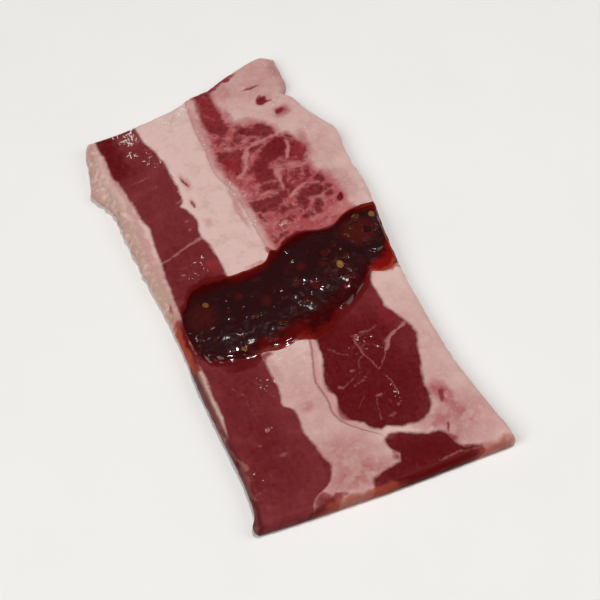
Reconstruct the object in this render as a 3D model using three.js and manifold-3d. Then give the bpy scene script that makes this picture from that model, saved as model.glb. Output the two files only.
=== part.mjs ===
// A raw slice of veal brisket lying flat, with a thick chilli sauce spooned across its middle.
//
// Millimetres, +Z up. X runs across the slice from its outer rim, Y along its length.
// Lines are drawn from a point near the middle of the slice, and the whole is moved at the end
// so that the middle of its underside is the origin.

import * as THREE from 'three';
import { ImprovedNoise } from 'three/addons/math/ImprovedNoise.js';
import { mergeVertices } from 'three/addons/utils/BufferGeometryUtils.js';
import Module from 'manifold-3d';

const wasm = await Module();
wasm.setup();

// ---- Driving dimensions ------------------------------------------------------------------

const MIDDLE = { x: -1.8, y: 7.7 };   // middle of the slice's box, in the drawn lines

// Slice
const THICKNESS = 4.7;        // over the lean
const FAT_LIFT = 0.35;        // firm fat stands this much above the lean
const WAVE = 0.4;             // slow rise and fall of the cut face
const SEAM_DEPTH = 0.9;       // groove along the membrane between the two muscles
const SEAM_HALF_WIDTH = 1.1;
const EDGE_DROP = 0.55;       // the face turns down by this much at its edge
const EDGE_BULGE = 0.7;       // the cut wall stands out from the face's edge
const RIM_BULGE = 1.6;        // the soft outer rim stands out more
const RIM_KNOBS = [            // soft bulge on the rim, and a tag of fat at its near corner
  { y: 64, reach: 6, bulge: 3.1 },
  { y: -83, reach: 2.6, bulge: 2.6 },
];
const TAB = { from: 30, to: 36, y: 84, drop: 2.2 };   // its far side corner turns down
const ROWS = 70;

// Sauce
const GAP = 0.3;              // clear of the slice
const FILM = 0.7;             // thin sauce at its edge
const LUMP = 0.75;            // height of the bits that show under its skin
const LUMP_LENGTH = 4.2;
const SAUCE_FROM = -36.4;     // its ends, along X
const SAUCE_TO = 40;
const EDGE_MARGIN = 1;        // it stops this far inside the slice's face
const SAUCE_COLUMNS = 50;
const SAUCE_ROWS = 21;
const BLUNT = 0.06;           // share of its length that each end takes to rise
const STEEPNESS = 3.2;        // how soon it reaches its full height from its near and far edge

// Chilli seeds and skin flakes in the sauce
const SEED = { length: 2.8, width: 2.3, height: 1.2, count: 44 };
const FLAKE = { length: 4.6, width: 3.2, height: 1.5, count: 26 };

// ---- Lines along the slice: [y, x] -------------------------------------------------------

const rimFace = through([
  [-87, -39.2], [-80, -38.3], [-70, -37.6], [-45, -38.4], [-27, -38.9], [-7, -38], [5, -38.4],
  [13, -39.2], [33, -40.2], [47, -40.6], [55, -41.5], [65, -42.8], [72, -43], [79, -42.8],
  [87, -41],
]);
const rimLine = through([
  [-87, -39], [-80, -38], [-70, -36], [-63, -35], [-55, -36.5], [-30, -36.5], [-5, -36],
  [18, -35], [38, -33.8], [50, -35.3], [62, -37], [70, -38.5], [87, -39],
]);
const stripLine = through([
  [-87, -21], [-80, -16], [-73, -12], [-60, -15], [-50, -15.4], [-45, -17.5], [-28, -17],
  [8, -16.5], [20, -17], [34, -17.5], [45, -19.3], [57, -19], [70, -20.5], [87, -24],
]);
const seamLine = through([
  [-87, 5], [-78, 7.5], [-69.5, 6.3], [-65, 1.5], [-58, -4], [-47, -4], [-43, -5], [-36, -3.5],
  [-27, -0.5], [12, 0.3], [28, -0.5], [40, -1], [50, -4], [55, -4.8], [75, -4.2], [92, -2.5],
]);
const muscleLine = through([
  [-87, 27], [-76, 24], [-66, 25], [-55, 27], [-40, 31], [-30, 28], [-10, 26], [10, 29],
  [28, 31], [40, 28], [50, 28.5], [60, 25], [70, 21], [85, 22], [100, 24],
]);
const farFace = through([
  [-87, 43], [-83, 43], [-77, 42], [-65, 40], [-52, 38.4], [-40, 37.8], [-25, 37.7], [-10, 38],
  [0, 38.8], [10, 39.8], [18, 41], [31, 41.8], [40, 41.2], [47, 41.5], [54, 42.3], [57, 42.2],
  [61, 40.3], [69, 36.3], [78, 33.4], [82.5, 30.6], [85, 33.2], [92, 34.3], [101, 34.6],
]);

// ---- Lines across the slice: [x, y] ------------------------------------------------------

const nearEnd = through([[-41, -84.2], [-36, -84.8], [-20, -85.6], [0, -86.2], [43, -86]]);
const farEnd = through([
  [-42, 86], [-24, 86.8], [-14, 88.3], [-5, 90.5], [0, 93], [8, 94.5], [15, 97.5],
  [22, 100], [30, 101.7], [35, 100.2],
]);

// ---- Sauce outline: [x, y] ---------------------------------------------------------------

const sauceFar = through([
  [-36.4, -6], [-35.6, -2], [-33, 2], [-30.5, 6], [-27, 8.5], [-16.5, 8], [-8, 8], [-1, 10],
  [1, 12.5], [3, 11.8], [6, 14], [12, 16], [20, 14], [25, 14.5], [29, 17], [34, 18.6],
  [40, 18.5],
]);
const sauceNear = through([
  [-36.4, -8], [-35.8, -15], [-34.5, -19.5], [-30, -23.5], [-22, -26], [-15.5, -25.5],
  [-10, -26.6], [-5, -26], [3, -27.5], [7, -26.5], [13, -21], [18, -18.5], [24.5, -13.5],
  [29, -9.5], [34, -11], [40, -8],
]);
const MOUNDS = [
  { x: -26, y: -9, acrossX: 11, acrossY: 14, height: 2.9 },
  { x: -11, y: -8, acrossX: 10, acrossY: 12, height: 2.2 },
  { x: 4, y: -4, acrossX: 9, acrossY: 12, height: 2.6 },
  { x: 18, y: 1, acrossX: 12, acrossY: 12, height: 3.1 },
  { x: 33, y: 7, acrossX: 9, acrossY: 8, height: 2.3 },
];

// Cuts and tears in the fat: [from, to], each with its width and depth
const SLITS = [
  { from: [17, 88], to: [25.5, 88], width: 1.4, depth: 1.6 },
  { from: [21, 82.5], to: [27, 79], width: 2.6, depth: 1.8 },
  { from: [25.5, 72], to: [29, 74.5], width: 1.2, depth: 1.4 },
  { from: [-16.5, 57], to: [-15, 50.5], width: 1.2, depth: 1.2 },
  { from: [-16.2, 45], to: [-16, 41], width: 1.1, depth: 1.1 },
  { from: [34, -64], to: [29, -73], width: 0.9, depth: 1 },
];
const GRISTLE = { x: 28.5, y: 77.5, radius: 2, rise: 0.5 };

// ---- Helpers -----------------------------------------------------------------------------

function through(points) {
  const along = points.map((point) => point[0]);
  const across = points.map((point) => point[1]);
  const fit = new THREE.CubicInterpolant(along, across, 1);
  return (at) => fit.evaluate(at)[0];
}

function bump(distance, reach) {
  return Math.exp(-((distance / reach) ** 2));
}

function step(distance, softness) {
  return THREE.MathUtils.smoothstep(distance, -softness, softness);
}

function seeded(seed) {
  let state = seed;
  return () => {
    state = (state * 16807) % 2147483647;
    return state / 2147483647;
  };
}

function solid(geometry) {
  geometry.deleteAttribute('normal');
  geometry.deleteAttribute('uv');
  const merged = mergeVertices(geometry, 1e-4);
  return new wasm.Manifold(new wasm.Mesh({
    numProp: 3,
    vertProperties: Float32Array.from(merged.attributes.position.array),
    triVerts: Uint32Array.from(merged.index.array),
  }));
}

function surface(manifold) {
  const mesh = manifold.getMesh();
  const geometry = new THREE.BufferGeometry();
  geometry.setAttribute('position', new THREE.BufferAttribute(mesh.vertProperties, 3));
  geometry.setIndex(new THREE.BufferAttribute(mesh.triVerts, 1));
  geometry.computeVertexNormals();
  return geometry;
}

// A closed body over a lattice of columns and rows. at(column, row) gives the top face's
// points. Each ring then runs round the edge and gives the wall's points from a top point
// and its outward direction. The last ring is flat, and its inside is the underside.
function slab(columns, rows, at, rings) {
  const points = [];
  for (let row = 0; row <= rows; row += 1) {
    for (let column = 0; column <= columns; column += 1) points.push(at(column, row));
  }
  const index = (column, row) => row * (columns + 1) + column;
  const faces = [];
  for (let row = 0; row < rows; row += 1) {
    for (let column = 0; column < columns; column += 1) {
      const a = index(column, row);
      const b = index(column + 1, row);
      const c = index(column + 1, row + 1);
      const d = index(column, row + 1);
      const even = (column + row) % 2 === 0;
      faces.push(...(even ? [a, b, c, a, c, d] : [a, b, d, b, c, d]));
    }
  }

  let edge = [];
  for (let column = 0; column < columns; column += 1) edge.push(index(column, 0));
  for (let row = 0; row < rows; row += 1) edge.push(index(columns, row));
  for (let column = columns; column > 0; column -= 1) edge.push(index(column, rows));
  for (let row = rows; row > 0; row -= 1) edge.push(index(0, row));
  const count = edge.length;
  const rim = edge.map((i) => points[i]);
  const outward = rim.map((_, i) => {
    const before = rim[(i + count - 1) % count];
    const after = rim[(i + 1) % count];
    return new THREE.Vector2(after.y - before.y, before.x - after.x).normalize();
  });

  for (const ring of rings) {
    const first = points.length;
    rim.forEach((point, i) => points.push(ring(point, outward[i])));
    const next = rim.map((_, i) => first + i);
    for (let i = 0; i < count; i += 1) {
      const j = (i + 1) % count;
      faces.push(edge[i], next[i], next[j], edge[i], next[j], edge[j]);
    }
    edge = next;
  }
  const outline = edge.map((i) => new THREE.Vector2(points[i].x, points[i].y));
  for (const [a, b, c] of THREE.ShapeUtils.triangulateShape(outline, [])) {
    faces.push(edge[a], edge[c], edge[b]);
  }

  const geometry = new THREE.BufferGeometry().setFromPoints(points);
  geometry.setIndex(faces);
  return geometry;
}

// ---- Slice -------------------------------------------------------------------------------

const noise = new ImprovedNoise();

// Lean lies between rim and strip lines, and between seam and muscle lines. The rest is fat.
function leanShare(x, y) {
  const strip = step(x - rimLine(y), 1) * step(stripLine(y) - x, 1);
  const muscle = step(x - seamLine(y), 1) * step(muscleLine(y) - x, 1.5);
  return strip + muscle;
}

function faceHeight(x, y) {
  const wave = Math.sin(x / 12 + 0.5) * Math.cos(y / 27) + 0.6 * noise.noise(x / 17, y / 17, 3);
  const seam = SEAM_DEPTH * bump(x - seamLine(y), 0.7);
  const turned = TAB.drop * THREE.MathUtils.smoothstep(x, TAB.from, TAB.to) * step(y - TAB.y, 2);
  return THICKNESS + WAVE * wave + FAT_LIFT * (1 - leanShare(x, y)) - seam - turned;
}

// Columns of the lattice follow the lines of the meat, so each band keeps a crisp edge.
function latticeColumns() {
  const inRim = (y) => Math.max(rimLine(y), rimFace(y) + 1.6);
  const bands = [
    { to: inRim, columns: 2 },
    { to: stripLine, columns: 7 },
    { to: (y) => seamLine(y) - SEAM_HALF_WIDTH, columns: 5 },
    { to: seamLine, columns: 1 },
    { to: (y) => seamLine(y) + SEAM_HALF_WIDTH, columns: 1 },
    { to: muscleLine, columns: 9 },
    { to: farFace, columns: 5 },
  ];
  const columns = [rimFace];
  let from = rimFace;
  for (const band of bands) {
    const start = from;
    for (let i = 1; i <= band.columns; i += 1) {
      const share = i / band.columns;
      columns.push((y) => THREE.MathUtils.lerp(start(y), band.to(y), share));
    }
    from = band.to;
  }
  return columns;
}

// Where a column meets one end of the slice.
function meet(column, end) {
  let y = end(0);
  for (let i = 0; i < 6; i += 1) y = end(column(y));
  return y;
}

function sliceBody() {
  const columns = latticeColumns();
  const last = columns.length - 1;
  const ends = columns.map((column) => [meet(column, nearEnd), meet(column, farEnd)]);
  const at = (column, row) => {
    const y = THREE.MathUtils.lerp(ends[column][0], ends[column][1], row / ROWS);
    const x = columns[column](y);
    const atEdge = column === 0 || column === last || row === 0 || row === ROWS;
    return new THREE.Vector3(x, y, faceHeight(x, y) - (atEdge ? EDGE_DROP : 0));
  };
  const knob = (y) => RIM_KNOBS.reduce((sum, one) => sum + one.bulge * bump(y - one.y, one.reach), 0);
  const bulge = (point, out) => {
    const onRim = Math.max(0, -out.x) ** 2;
    return THREE.MathUtils.lerp(EDGE_BULGE, RIM_BULGE + knob(point.y), onRim);
  };
  const ring = (share, height, tuck) => (point, out) => {
    const reach = bulge(point, out) * share - tuck;
    return new THREE.Vector3(point.x + out.x * reach, point.y + out.y * reach, point.z * height);
  };
  return slab(last, ROWS, at, [ring(0.65, 0.8, 0), ring(1, 0.4, 0), ring(1, 0, 0.5)]);
}

// A thin spindle that stands in the face and cuts a slit with pointed ends.
function slitCutter({ from, to, width, depth }) {
  const run = new THREE.Vector2(to[0] - from[0], to[1] - from[1]);
  const cutter = new THREE.SphereGeometry(1, 8, 4);
  cutter.scale(run.length() / 2, width / 2, depth);
  cutter.rotateZ(run.angle());
  const x = (from[0] + to[0]) / 2;
  const y = (from[1] + to[1]) / 2;
  cutter.translate(x, y, faceHeight(x, y) + 0.1);
  return solid(cutter);
}

function gristleNodule() {
  const nodule = new THREE.SphereGeometry(GRISTLE.radius, 12, 6);
  nodule.scale(1, 1, 0.5);
  const top = faceHeight(GRISTLE.x, GRISTLE.y) + GRISTLE.rise;
  nodule.translate(GRISTLE.x, GRISTLE.y, top - GRISTLE.radius * 0.5);
  return solid(nodule);
}

function sliceSolid() {
  let slice = solid(sliceBody());
  for (const slit of SLITS) slice = slice.subtract(slitCutter(slit));
  return slice.add(gristleNodule());
}

// ---- Sauce -------------------------------------------------------------------------------

function moundHeight(x, y) {
  let spared = 1;
  for (const mound of MOUNDS) {
    const away = Math.hypot((x - mound.x) / mound.acrossX, (y - mound.y) / mound.acrossY);
    spared *= 1 - (mound.height / 4) * bump(away, 1);
  }
  return 4 * (1 - spared);
}

// Thickness of the sauce, which rises from its edge as a drop does. side is 0 at either edge
// and 1 half-way between them.
function sauceHeight(x, y, side) {
  const dome = Math.sqrt(Math.min(1, side * STEEPNESS));
  const u = x / LUMP_LENGTH;
  const v = y / LUMP_LENGTH;
  const lumps = noise.noise(u, v, 11) + 0.6 * noise.noise(2.1 * u, 2.1 * v, 7);
  return FILM + dome * (moundHeight(x, y) + LUMP * lumps);
}

// A point of the sauce's skin: along runs from its left end, over from its near side, 0 to 1.
function saucePoint(along, over) {
  const plain = THREE.MathUtils.lerp(SAUCE_FROM, SAUCE_TO, along);
  const y = THREE.MathUtils.lerp(sauceNear(plain), sauceFar(plain), over);
  const x = plain + (farFace(y) - EDGE_MARGIN - SAUCE_TO) * along ** 4;
  const acrossSide = Math.min(over, 1 - over);
  const endSide = Math.min(along, 1 - along) / BLUNT;
  const side = Math.min(acrossSide, endSide * 0.5);
  return new THREE.Vector3(x, y, faceHeight(x, y) + sauceHeight(x, y, side));
}

function sauceBody() {
  const at = (column, row) => {
    const along = 0.5 - 0.5 * Math.cos(Math.PI * column / SAUCE_COLUMNS);
    const even = column / SAUCE_COLUMNS;
    return saucePoint(THREE.MathUtils.lerp(even, along, 0.6), row / SAUCE_ROWS);
  };
  const wall = (point) => new THREE.Vector3(point.x, point.y, THICKNESS / 2);
  return slab(SAUCE_COLUMNS, SAUCE_ROWS, at, [wall]);
}

// Seeds and flakes lie in the skin of the sauce, tilted, more of them where it is thick.
function bits(piece, random) {
  const placed = [];
  while (placed.length < piece.count) {
    const point = saucePoint(0.04 + 0.92 * random(), 0.1 + 0.8 * random());
    const size = 0.75 + 0.45 * random();
    const turn = new THREE.Euler(0.9 * (random() - 0.5), 0.9 * (random() - 0.5), Math.PI * random());
    const thick = moundHeight(point.x, point.y) > 4 * random();
    const clear = placed.every((other) => other.point.distanceTo(point) > piece.length * 0.9);
    if (!thick || !clear) continue;
    const bit = new THREE.SphereGeometry(0.5, 6, 3);
    bit.scale(piece.length * size, piece.width * size, piece.height);
    bit.applyMatrix4(new THREE.Matrix4().makeRotationFromEuler(turn));
    bit.translate(point.x, point.y, point.z + piece.height * 0.1);
    placed.push({ point, body: solid(bit) });
  }
  return placed.map((one) => one.body);
}

function sauceSolid(slice) {
  const random = seeded(41);
  const pieces = [solid(sauceBody()), ...bits(SEED, random), ...bits(FLAKE, random)];
  const whole = pieces.reduce((sum, piece) => sum.add(piece));
  return whole.subtract(slice.translate([0, 0, GAP]));
}

// ---- Object ------------------------------------------------------------------------------

function named(name, manifold, colour, roughness) {
  const material = new THREE.MeshStandardMaterial({ color: colour, roughness, metalness: 0 });
  const mesh = new THREE.Mesh(surface(manifold), material);
  mesh.name = name;
  return mesh;
}

const slice = sliceSolid();
const brisket = new THREE.Group();
brisket.add(named('brisket_slice', slice, '#a8696b', 0.4));
brisket.add(named('chilli_sauce', sauceSolid(slice), '#2c0a0b', 0.15));
brisket.position.set(-MIDDLE.x, -MIDDLE.y, 0);

export default brisket;
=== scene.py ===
"""A raw slice of veal brisket with a spoonful of chilli sauce across it, and a plain studio.

Lines are drawn in millimetres: x across the slice from its outer rim, y along its length.
They are moved by MIDDLE and turned to metres when a mesh is made.
"""

import math
from functools import partial

import bpy
import numpy as np
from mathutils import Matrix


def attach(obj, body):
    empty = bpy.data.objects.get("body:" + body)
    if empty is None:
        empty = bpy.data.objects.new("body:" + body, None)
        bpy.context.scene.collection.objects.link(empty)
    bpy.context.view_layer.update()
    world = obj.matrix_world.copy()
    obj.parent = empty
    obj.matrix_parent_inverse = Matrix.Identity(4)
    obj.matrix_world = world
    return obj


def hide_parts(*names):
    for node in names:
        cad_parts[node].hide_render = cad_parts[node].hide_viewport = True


bl_info = {
    "name": "Veal brisket slice",
    "version": (1, 0, 0),
    "blender": (4, 5, 0),
    "location": "3D View > Sidebar > Brisket",
    "description": "Makes a raw brisket slice with chilli sauce, and a studio to show it in",
    "category": "Add Mesh",
}

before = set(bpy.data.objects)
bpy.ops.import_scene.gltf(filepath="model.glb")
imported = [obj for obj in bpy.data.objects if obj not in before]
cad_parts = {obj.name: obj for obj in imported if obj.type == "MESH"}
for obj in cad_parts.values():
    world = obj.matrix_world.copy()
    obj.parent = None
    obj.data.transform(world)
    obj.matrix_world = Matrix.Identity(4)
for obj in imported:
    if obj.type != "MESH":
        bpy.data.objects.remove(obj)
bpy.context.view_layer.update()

MM = 0.001
MIDDLE = (-1.8, 7.7)  # middle of the slice's box, in the drawn lines, mm

# ---- Lines along the slice: [y, x], mm ----------------------------------------------------

RIM_FACE = [
    [-87, -39.2], [-80, -38.3], [-70, -37.6], [-45, -38.4], [-27, -38.9], [-7, -38], [5, -38.4],
    [13, -39.2], [33, -40.2], [47, -40.6], [55, -41.5], [65, -42.8], [72, -43], [79, -42.8],
    [87, -41],
]
RIM_LINE = [
    [-88, -40.5], [-80, -39.2], [-75, -38.6], [-70, -38.4], [-63, -38.6], [-56, -38.4],
    [-50, -37.4], [-45, -36.8], [-30, -36.5], [-18, -36.5], [-5, -36], [8, -35.5], [18, -35.2],
    [26, -34.4], [35, -33.9], [39, -33.8], [42, -34.6], [50, -35.3], [57, -36.2], [62, -37],
    [67, -38.5], [75, -38.4], [80, -39], [88, -39.4],
]
STRIP_LINE = [
    [-88, -22], [-84, -21.5], [-81.5, -19], [-79.5, -15], [-76.5, -13], [-73.3, -11.8],
    [-70, -13], [-65, -13.8], [-60, -15], [-52, -14.9], [-49.5, -15.6], [-47.5, -17.6],
    [-44.5, -17.2], [-41, -16.4], [-34, -16.6], [-28, -16.9], [-10, -16.5], [8, -16.4],
    [14, -16], [22, -16.8], [30, -18.2], [35, -17.4], [39.5, -18.4], [42, -19.2], [43.5, -20.6],
    [45.3, -19.4], [50, -18.7], [57, -19], [65, -19.6], [70, -20.5], [77, -22.6], [88, -24.2],
]
SEAM = [
    [-87, 5], [-78, 7.5], [-69.5, 6.3], [-65, 1.5], [-61.5, -2], [-57, -4.1], [-50, -4],
    [-43, -4.8], [-36, -2.9], [-27, -0.5], [12, 0.3], [28, -0.5], [40, -1], [46, -2.2],
    [50, -3.9], [55, -4.7], [65, -4.1], [75, -4.2], [85, -3.5], [92, -2.5],
]
FAR_FACE = [
    [-87, 43], [-83, 43], [-77, 42], [-65, 40], [-52, 38.4], [-40, 37.8], [-25, 37.7], [-10, 38],
    [0, 38.8], [10, 39.8], [18, 41], [31, 41.8], [40, 41.2], [47, 41.5], [54, 42.3], [57, 42.2],
    [61, 40.3], [69, 36.3], [78, 33.4], [82.5, 30.6], [85, 33.2], [92, 34.3], [101, 34.6],
]

# ---- Lines across the slice: [x, y], mm ---------------------------------------------------

NEAR_END = [[-41, -84.2], [-36, -84.8], [-20, -85.6], [0, -86.2], [43, -86]]
FAR_END = [
    [-42, 86], [-24, 86.8], [-14, 88.3], [-5, 90.5], [0, 93], [8, 94.5], [15, 97.5],
    [22, 100], [30, 101.7], [35, 100.2],
]
SAUCE_FAR = [
    [-36.4, -6], [-35.6, -2], [-33, 2], [-30.5, 6], [-27, 8.5], [-16.5, 8], [-8, 8], [-1, 10],
    [1, 12.5], [3, 11.8], [6, 14], [12, 16], [20, 14], [25, 14.5], [29, 17], [34, 18.6],
    [40, 18.5],
]
SAUCE_NEAR = [
    [-36.4, -8], [-35.8, -15], [-34.5, -19.5], [-30, -23.5], [-22, -26], [-15.5, -25.5],
    [-10, -26.6], [-5, -26], [3, -27.5], [7, -26.5], [13, -21], [18, -18.5], [24.5, -13.5],
    [29, -9.5], [34, -11], [40, -8],
]

# ---- Muscles: closed outlines, [x, y], mm -------------------------------------------------

EYE = [
    (0.6, 96), (6.5, 96), (6.5, 88), (7.4, 80), (7, 75.5), (10, 72.6), (12.5, 71), (16, 71.3),
    (19, 70.2), (21.5, 67), (21.9, 64), (20.6, 62.3), (24.8, 61.2), (27, 59), (27.6, 56),
    (29.2, 53), (28.4, 49.5), (26.4, 46.6), (27.2, 42), (29.8, 38.5), (30.8, 33), (31.8, 29.5),
    (31.5, 25), (33.5, 19), (33, 8), (29, -4), (26.5, -15), (27.2, -24), (29.5, -30.5),
    (31.8, -35.5), (32, -38.3), (30.2, -42.5), (29.2, -48), (27, -53.5), (25.7, -57.5),
    (26.2, -61.5), (25, -65.5), (22.8, -68), (19.5, -69.4), (13.5, -69.2), (9.3, -67),
    (7.2, -67.6), (4.8, -66.2), (2.8, -63), (0, -61), (-2.8, -59.6), (-3, -57.5), (-2, -54),
    (-1.2, -51), (-2.6, -48), (-2.8, -44), (-1.4, -40.5), (0.3, -35.5), (1.4, -28), (2, -10),
    (2.6, 12), (2.2, 27), (1, 36), (0.4, 45), (-1.4, 50), (-2.2, 55), (-1.4, 64), (-0.5, 74),
    (-0.6, 80), (0.4, 88),
]
NEAR_MUSCLE = [
    (6.2, -71.4), (8.3, -69.9), (12, -70.4), (16, -72.6), (20, -74.4), (23.4, -74.7),
    (25.2, -77), (26, -80.3), (28, -83.4), (33, -84.6), (34, -90), (-4, -90), (-2, -83),
    (3, -81.2), (7.8, -80.2), (8.7, -77.6), (7, -74.6),
]

# Solid lobes of the eye muscle; between them the lean is laced with fat
LOBES = [
    [(0, 98), (6.4, 98), (6.3, 86), (6.8, 80), (6.3, 76), (7.6, 72.6), (6, 70.8), (4, 70.6),
     (1.6, 71.4), (0, 73), (-0.5, 78), (0.2, 88)],
    [(7.6, 68), (9.6, 70.6), (10.2, 73.2), (11.4, 71.4), (13, 70), (15.2, 69.2), (16.6, 70.4),
     (18.8, 70.2), (20.7, 68.2), (21.8, 65.8), (21.5, 63.6), (20.4, 62.4), (18, 61.7),
     (16.2, 61.2), (15.9, 62.4), (16.4, 64.2), (14.8, 65.2), (13, 66.2), (11.7, 65.4),
     (11.4, 67.2), (9.6, 67.2), (7.8, 67)],
    [(10, 61.9), (11.4, 63.8), (13.5, 64.4), (15, 64), (14, 63), (12, 62.7)],
    [(10.2, 57.8), (10, 59.4), (11.2, 61), (13.6, 61.5), (15.3, 61), (14.9, 59.8), (13.2, 58.7),
     (11.6, 57.3)],
    [(-2.1, 60), (0, 61.9), (3, 61.9), (6, 60.6), (8.3, 59.9), (8.7, 58.2), (6.9, 57),
     (7, 55.9), (8.4, 55.2), (7.2, 54.4), (5.8, 54), (5, 51.5), (4.4, 49.4), (2.6, 49),
     (1.2, 50.6), (0.2, 54), (0.1, 56.6), (-1, 58)],
    [(1.4, 68), (2.4, 70), (3.6, 69), (3.2, 66.8), (1.6, 66)],
    [(3.6, 64.6), (6.8, 66.2), (9.4, 66.4), (9.6, 64.6), (8.4, 63.6), (6, 64)],
    [(14.4, 57.4), (16.5, 59.1), (18.6, 60.1), (21, 61.2), (22.6, 61.2), (23.8, 60), (24.6, 61.3),
     (26, 60.8), (26.7, 59.4), (25.6, 58), (24.3, 57), (23.5, 55.6), (22.9, 53.4), (22.2, 51.4),
     (21.2, 51.1), (19.5, 51.8), (17.5, 51.3), (15.5, 50.6), (14.1, 49.6), (13.9, 47.8),
     (14.8, 47), (13.7, 45.6), (14, 43.8), (14.8, 42.6), (13, 42.1), (11, 42.4), (8.6, 42.6),
     (7.6, 44.2), (8.6, 46.2), (8, 48.2), (6.4, 48.6), (6.6, 50), (8.8, 51.4), (10.4, 53),
     (12.4, 54.4), (13.3, 56)],
    [(7.6, 40.8), (9.6, 41.9), (12, 41.3), (14.5, 40.6), (14, 38.6), (11, 38.1), (8.2, 38.5)],
    [(24.4, 56.2), (26, 57.2), (27.6, 56.6), (28.1, 55), (27, 53.2), (27.8, 52.4), (30, 52),
     (29, 50.4), (28, 49.4), (28, 48), (26.6, 46.6), (24.6, 46.9), (24.2, 48.6), (25, 49.4),
     (23.4, 50), (22.2, 49.4), (21, 49.5), (21.9, 50.6), (23, 52), (24, 54)],
    [(17, 49), (18.5, 50.2), (20, 49.7), (19.6, 48.4), (18, 47.8)],
    [(18.3, 47), (19.6, 47.1), (20.2, 46), (19, 45.4)],
    [(16, 38.4), (16.2, 41), (17.3, 43.2), (19.1, 43.9), (18.5, 42.2), (17.4, 40.6),
     (17.3, 38.6), (18.5, 36.4), (18.8, 35), (17.6, 34.2), (16.2, 34.6), (16.5, 36.4)],
    [(20.2, 41.6), (21.5, 43.6), (23.6, 43.8), (24, 42.6), (22.4, 41.8), (22.5, 40.4),
     (21.6, 38.8), (20.4, 38.4), (20, 40)],
    [(24.5, 42), (25.7, 43.6), (26.4, 41.6), (25.9, 39), (24.6, 37.2), (22.6, 36.2),
     (20.8, 36.3), (21, 37.5), (22.9, 38.3), (24.1, 39.6)],
    [(2, 35.4), (4, 36.1), (5.6, 36), (6.2, 35), (8, 35), (10, 35.2), (11.4, 36.3), (14, 37),
     (15.6, 36.4), (15.8, 35), (14.6, 33.6), (12.6, 31.6), (11, 30.2), (9, 29.2), (6.5, 28.9),
     (4.4, 29.2), (2.8, 30.4), (1.6, 32.2), (1.4, 34)],
    [(18, 31.5), (19, 32.9), (21, 34), (23, 34.5), (24.6, 35.2), (26.3, 36), (26.9, 38),
     (28.4, 38.9), (29.9, 37.6), (30.2, 36), (29.3, 34.8), (27.6, 34.6), (27.1, 33),
     (28.4, 32), (28.8, 31), (27.6, 30), (25.6, 29.7), (24.5, 28.5), (22.8, 28.6), (22, 30),
     (21.3, 30.5), (20.6, 29.4), (21.2, 28.2), (20.4, 26.8), (19, 25.3), (17.4, 25),
     (17.8, 26.6), (17, 27.6), (17.4, 29.4)],
    [(28.2, 32), (29.4, 33.1), (30.6, 32.7), (30.7, 31.6), (29, 31)],
    [(24, 27.8), (25.7, 27.2), (25, 25.6), (23.8, 23.6), (22.6, 22), (21.4, 22), (21, 23.6),
     (21.8, 25.6), (22.8, 27)],
    [(9, 28.1), (11, 28.9), (13, 28.6), (15.4, 28), (15, 26.8), (13, 26.5), (11, 26.8)],
    [(2.5, 28), (3.6, 28.1), (4.8, 26.6), (4.4, 26.1), (3.2, 26.8)],
    [(11.2, 24), (12.6, 24.3), (13.2, 23), (12, 21.6), (11, 22.6)],
    [(6.3, 17.8), (7.4, 18.4), (8.3, 17.4), (7.6, 16.2), (6.5, 16.4)],
    [(4.2, 18), (5, 17.6), (5, 15), (4, 15.2)],
    [(8.6, 24), (9.4, 23.6), (9.2, 22.7), (8.4, 23)],
    [(26.6, 29.6), (29.6, 29.6), (29.9, 27.8), (27.6, 27.2)],
    [(20, 23.6), (20.6, 22), (18.8, 21), (16.8, 21.6), (17.4, 22.8)],
]

# ---- Patches: (x, y, reach x, reach y, turn in degrees, strength), mm ----------------------

DARK_LEAN = [
    (10, -32, 16, 9, 0, 0.8), (10, -52, 18, 19, 0, 0.95), (15, -82, 18, 10, 0, 1),
    (-28, -40, 9, 18, 0, 0.35), (-28, -66, 9, 14, 0, 0.4), (-25, 2, 10, 12, 0, 0.2),
    (-35.5, 76, 4, 14, 0, 0.8), (-32, 67, 5, 4, 0, 0.4), (31.5, 25.2, 1.1, 2.4, -28, 1),
    (20, 56.5, 7, 5.5, 20, 0.5), (12, 48, 4.5, 6.5, 0, 0.3), (-27, 18, 10, 16, 0, 0.3),
]
BRIGHT_LEAN = [
    (2.5, 55, 4, 5, 0, 0.9), (26.4, 51, 2.6, 5.6, -18, 1), (3, 67.5, 4, 3, 0, 0.6),
    (-19, 14.5, 2.2, 3.2, 0, 0.8), (5, 44, 5, 4, 0, 0.5), (22, 39, 4.5, 3.5, 0, 0.5),
    (3, 84, 4, 11, 0, 0.85), (10, 20, 9, 6, 0, 0.3), (14, 48, 17, 24, 0, 0.3),
    (26.5, -27, 3, 5, 0, 0.5),
]
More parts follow.
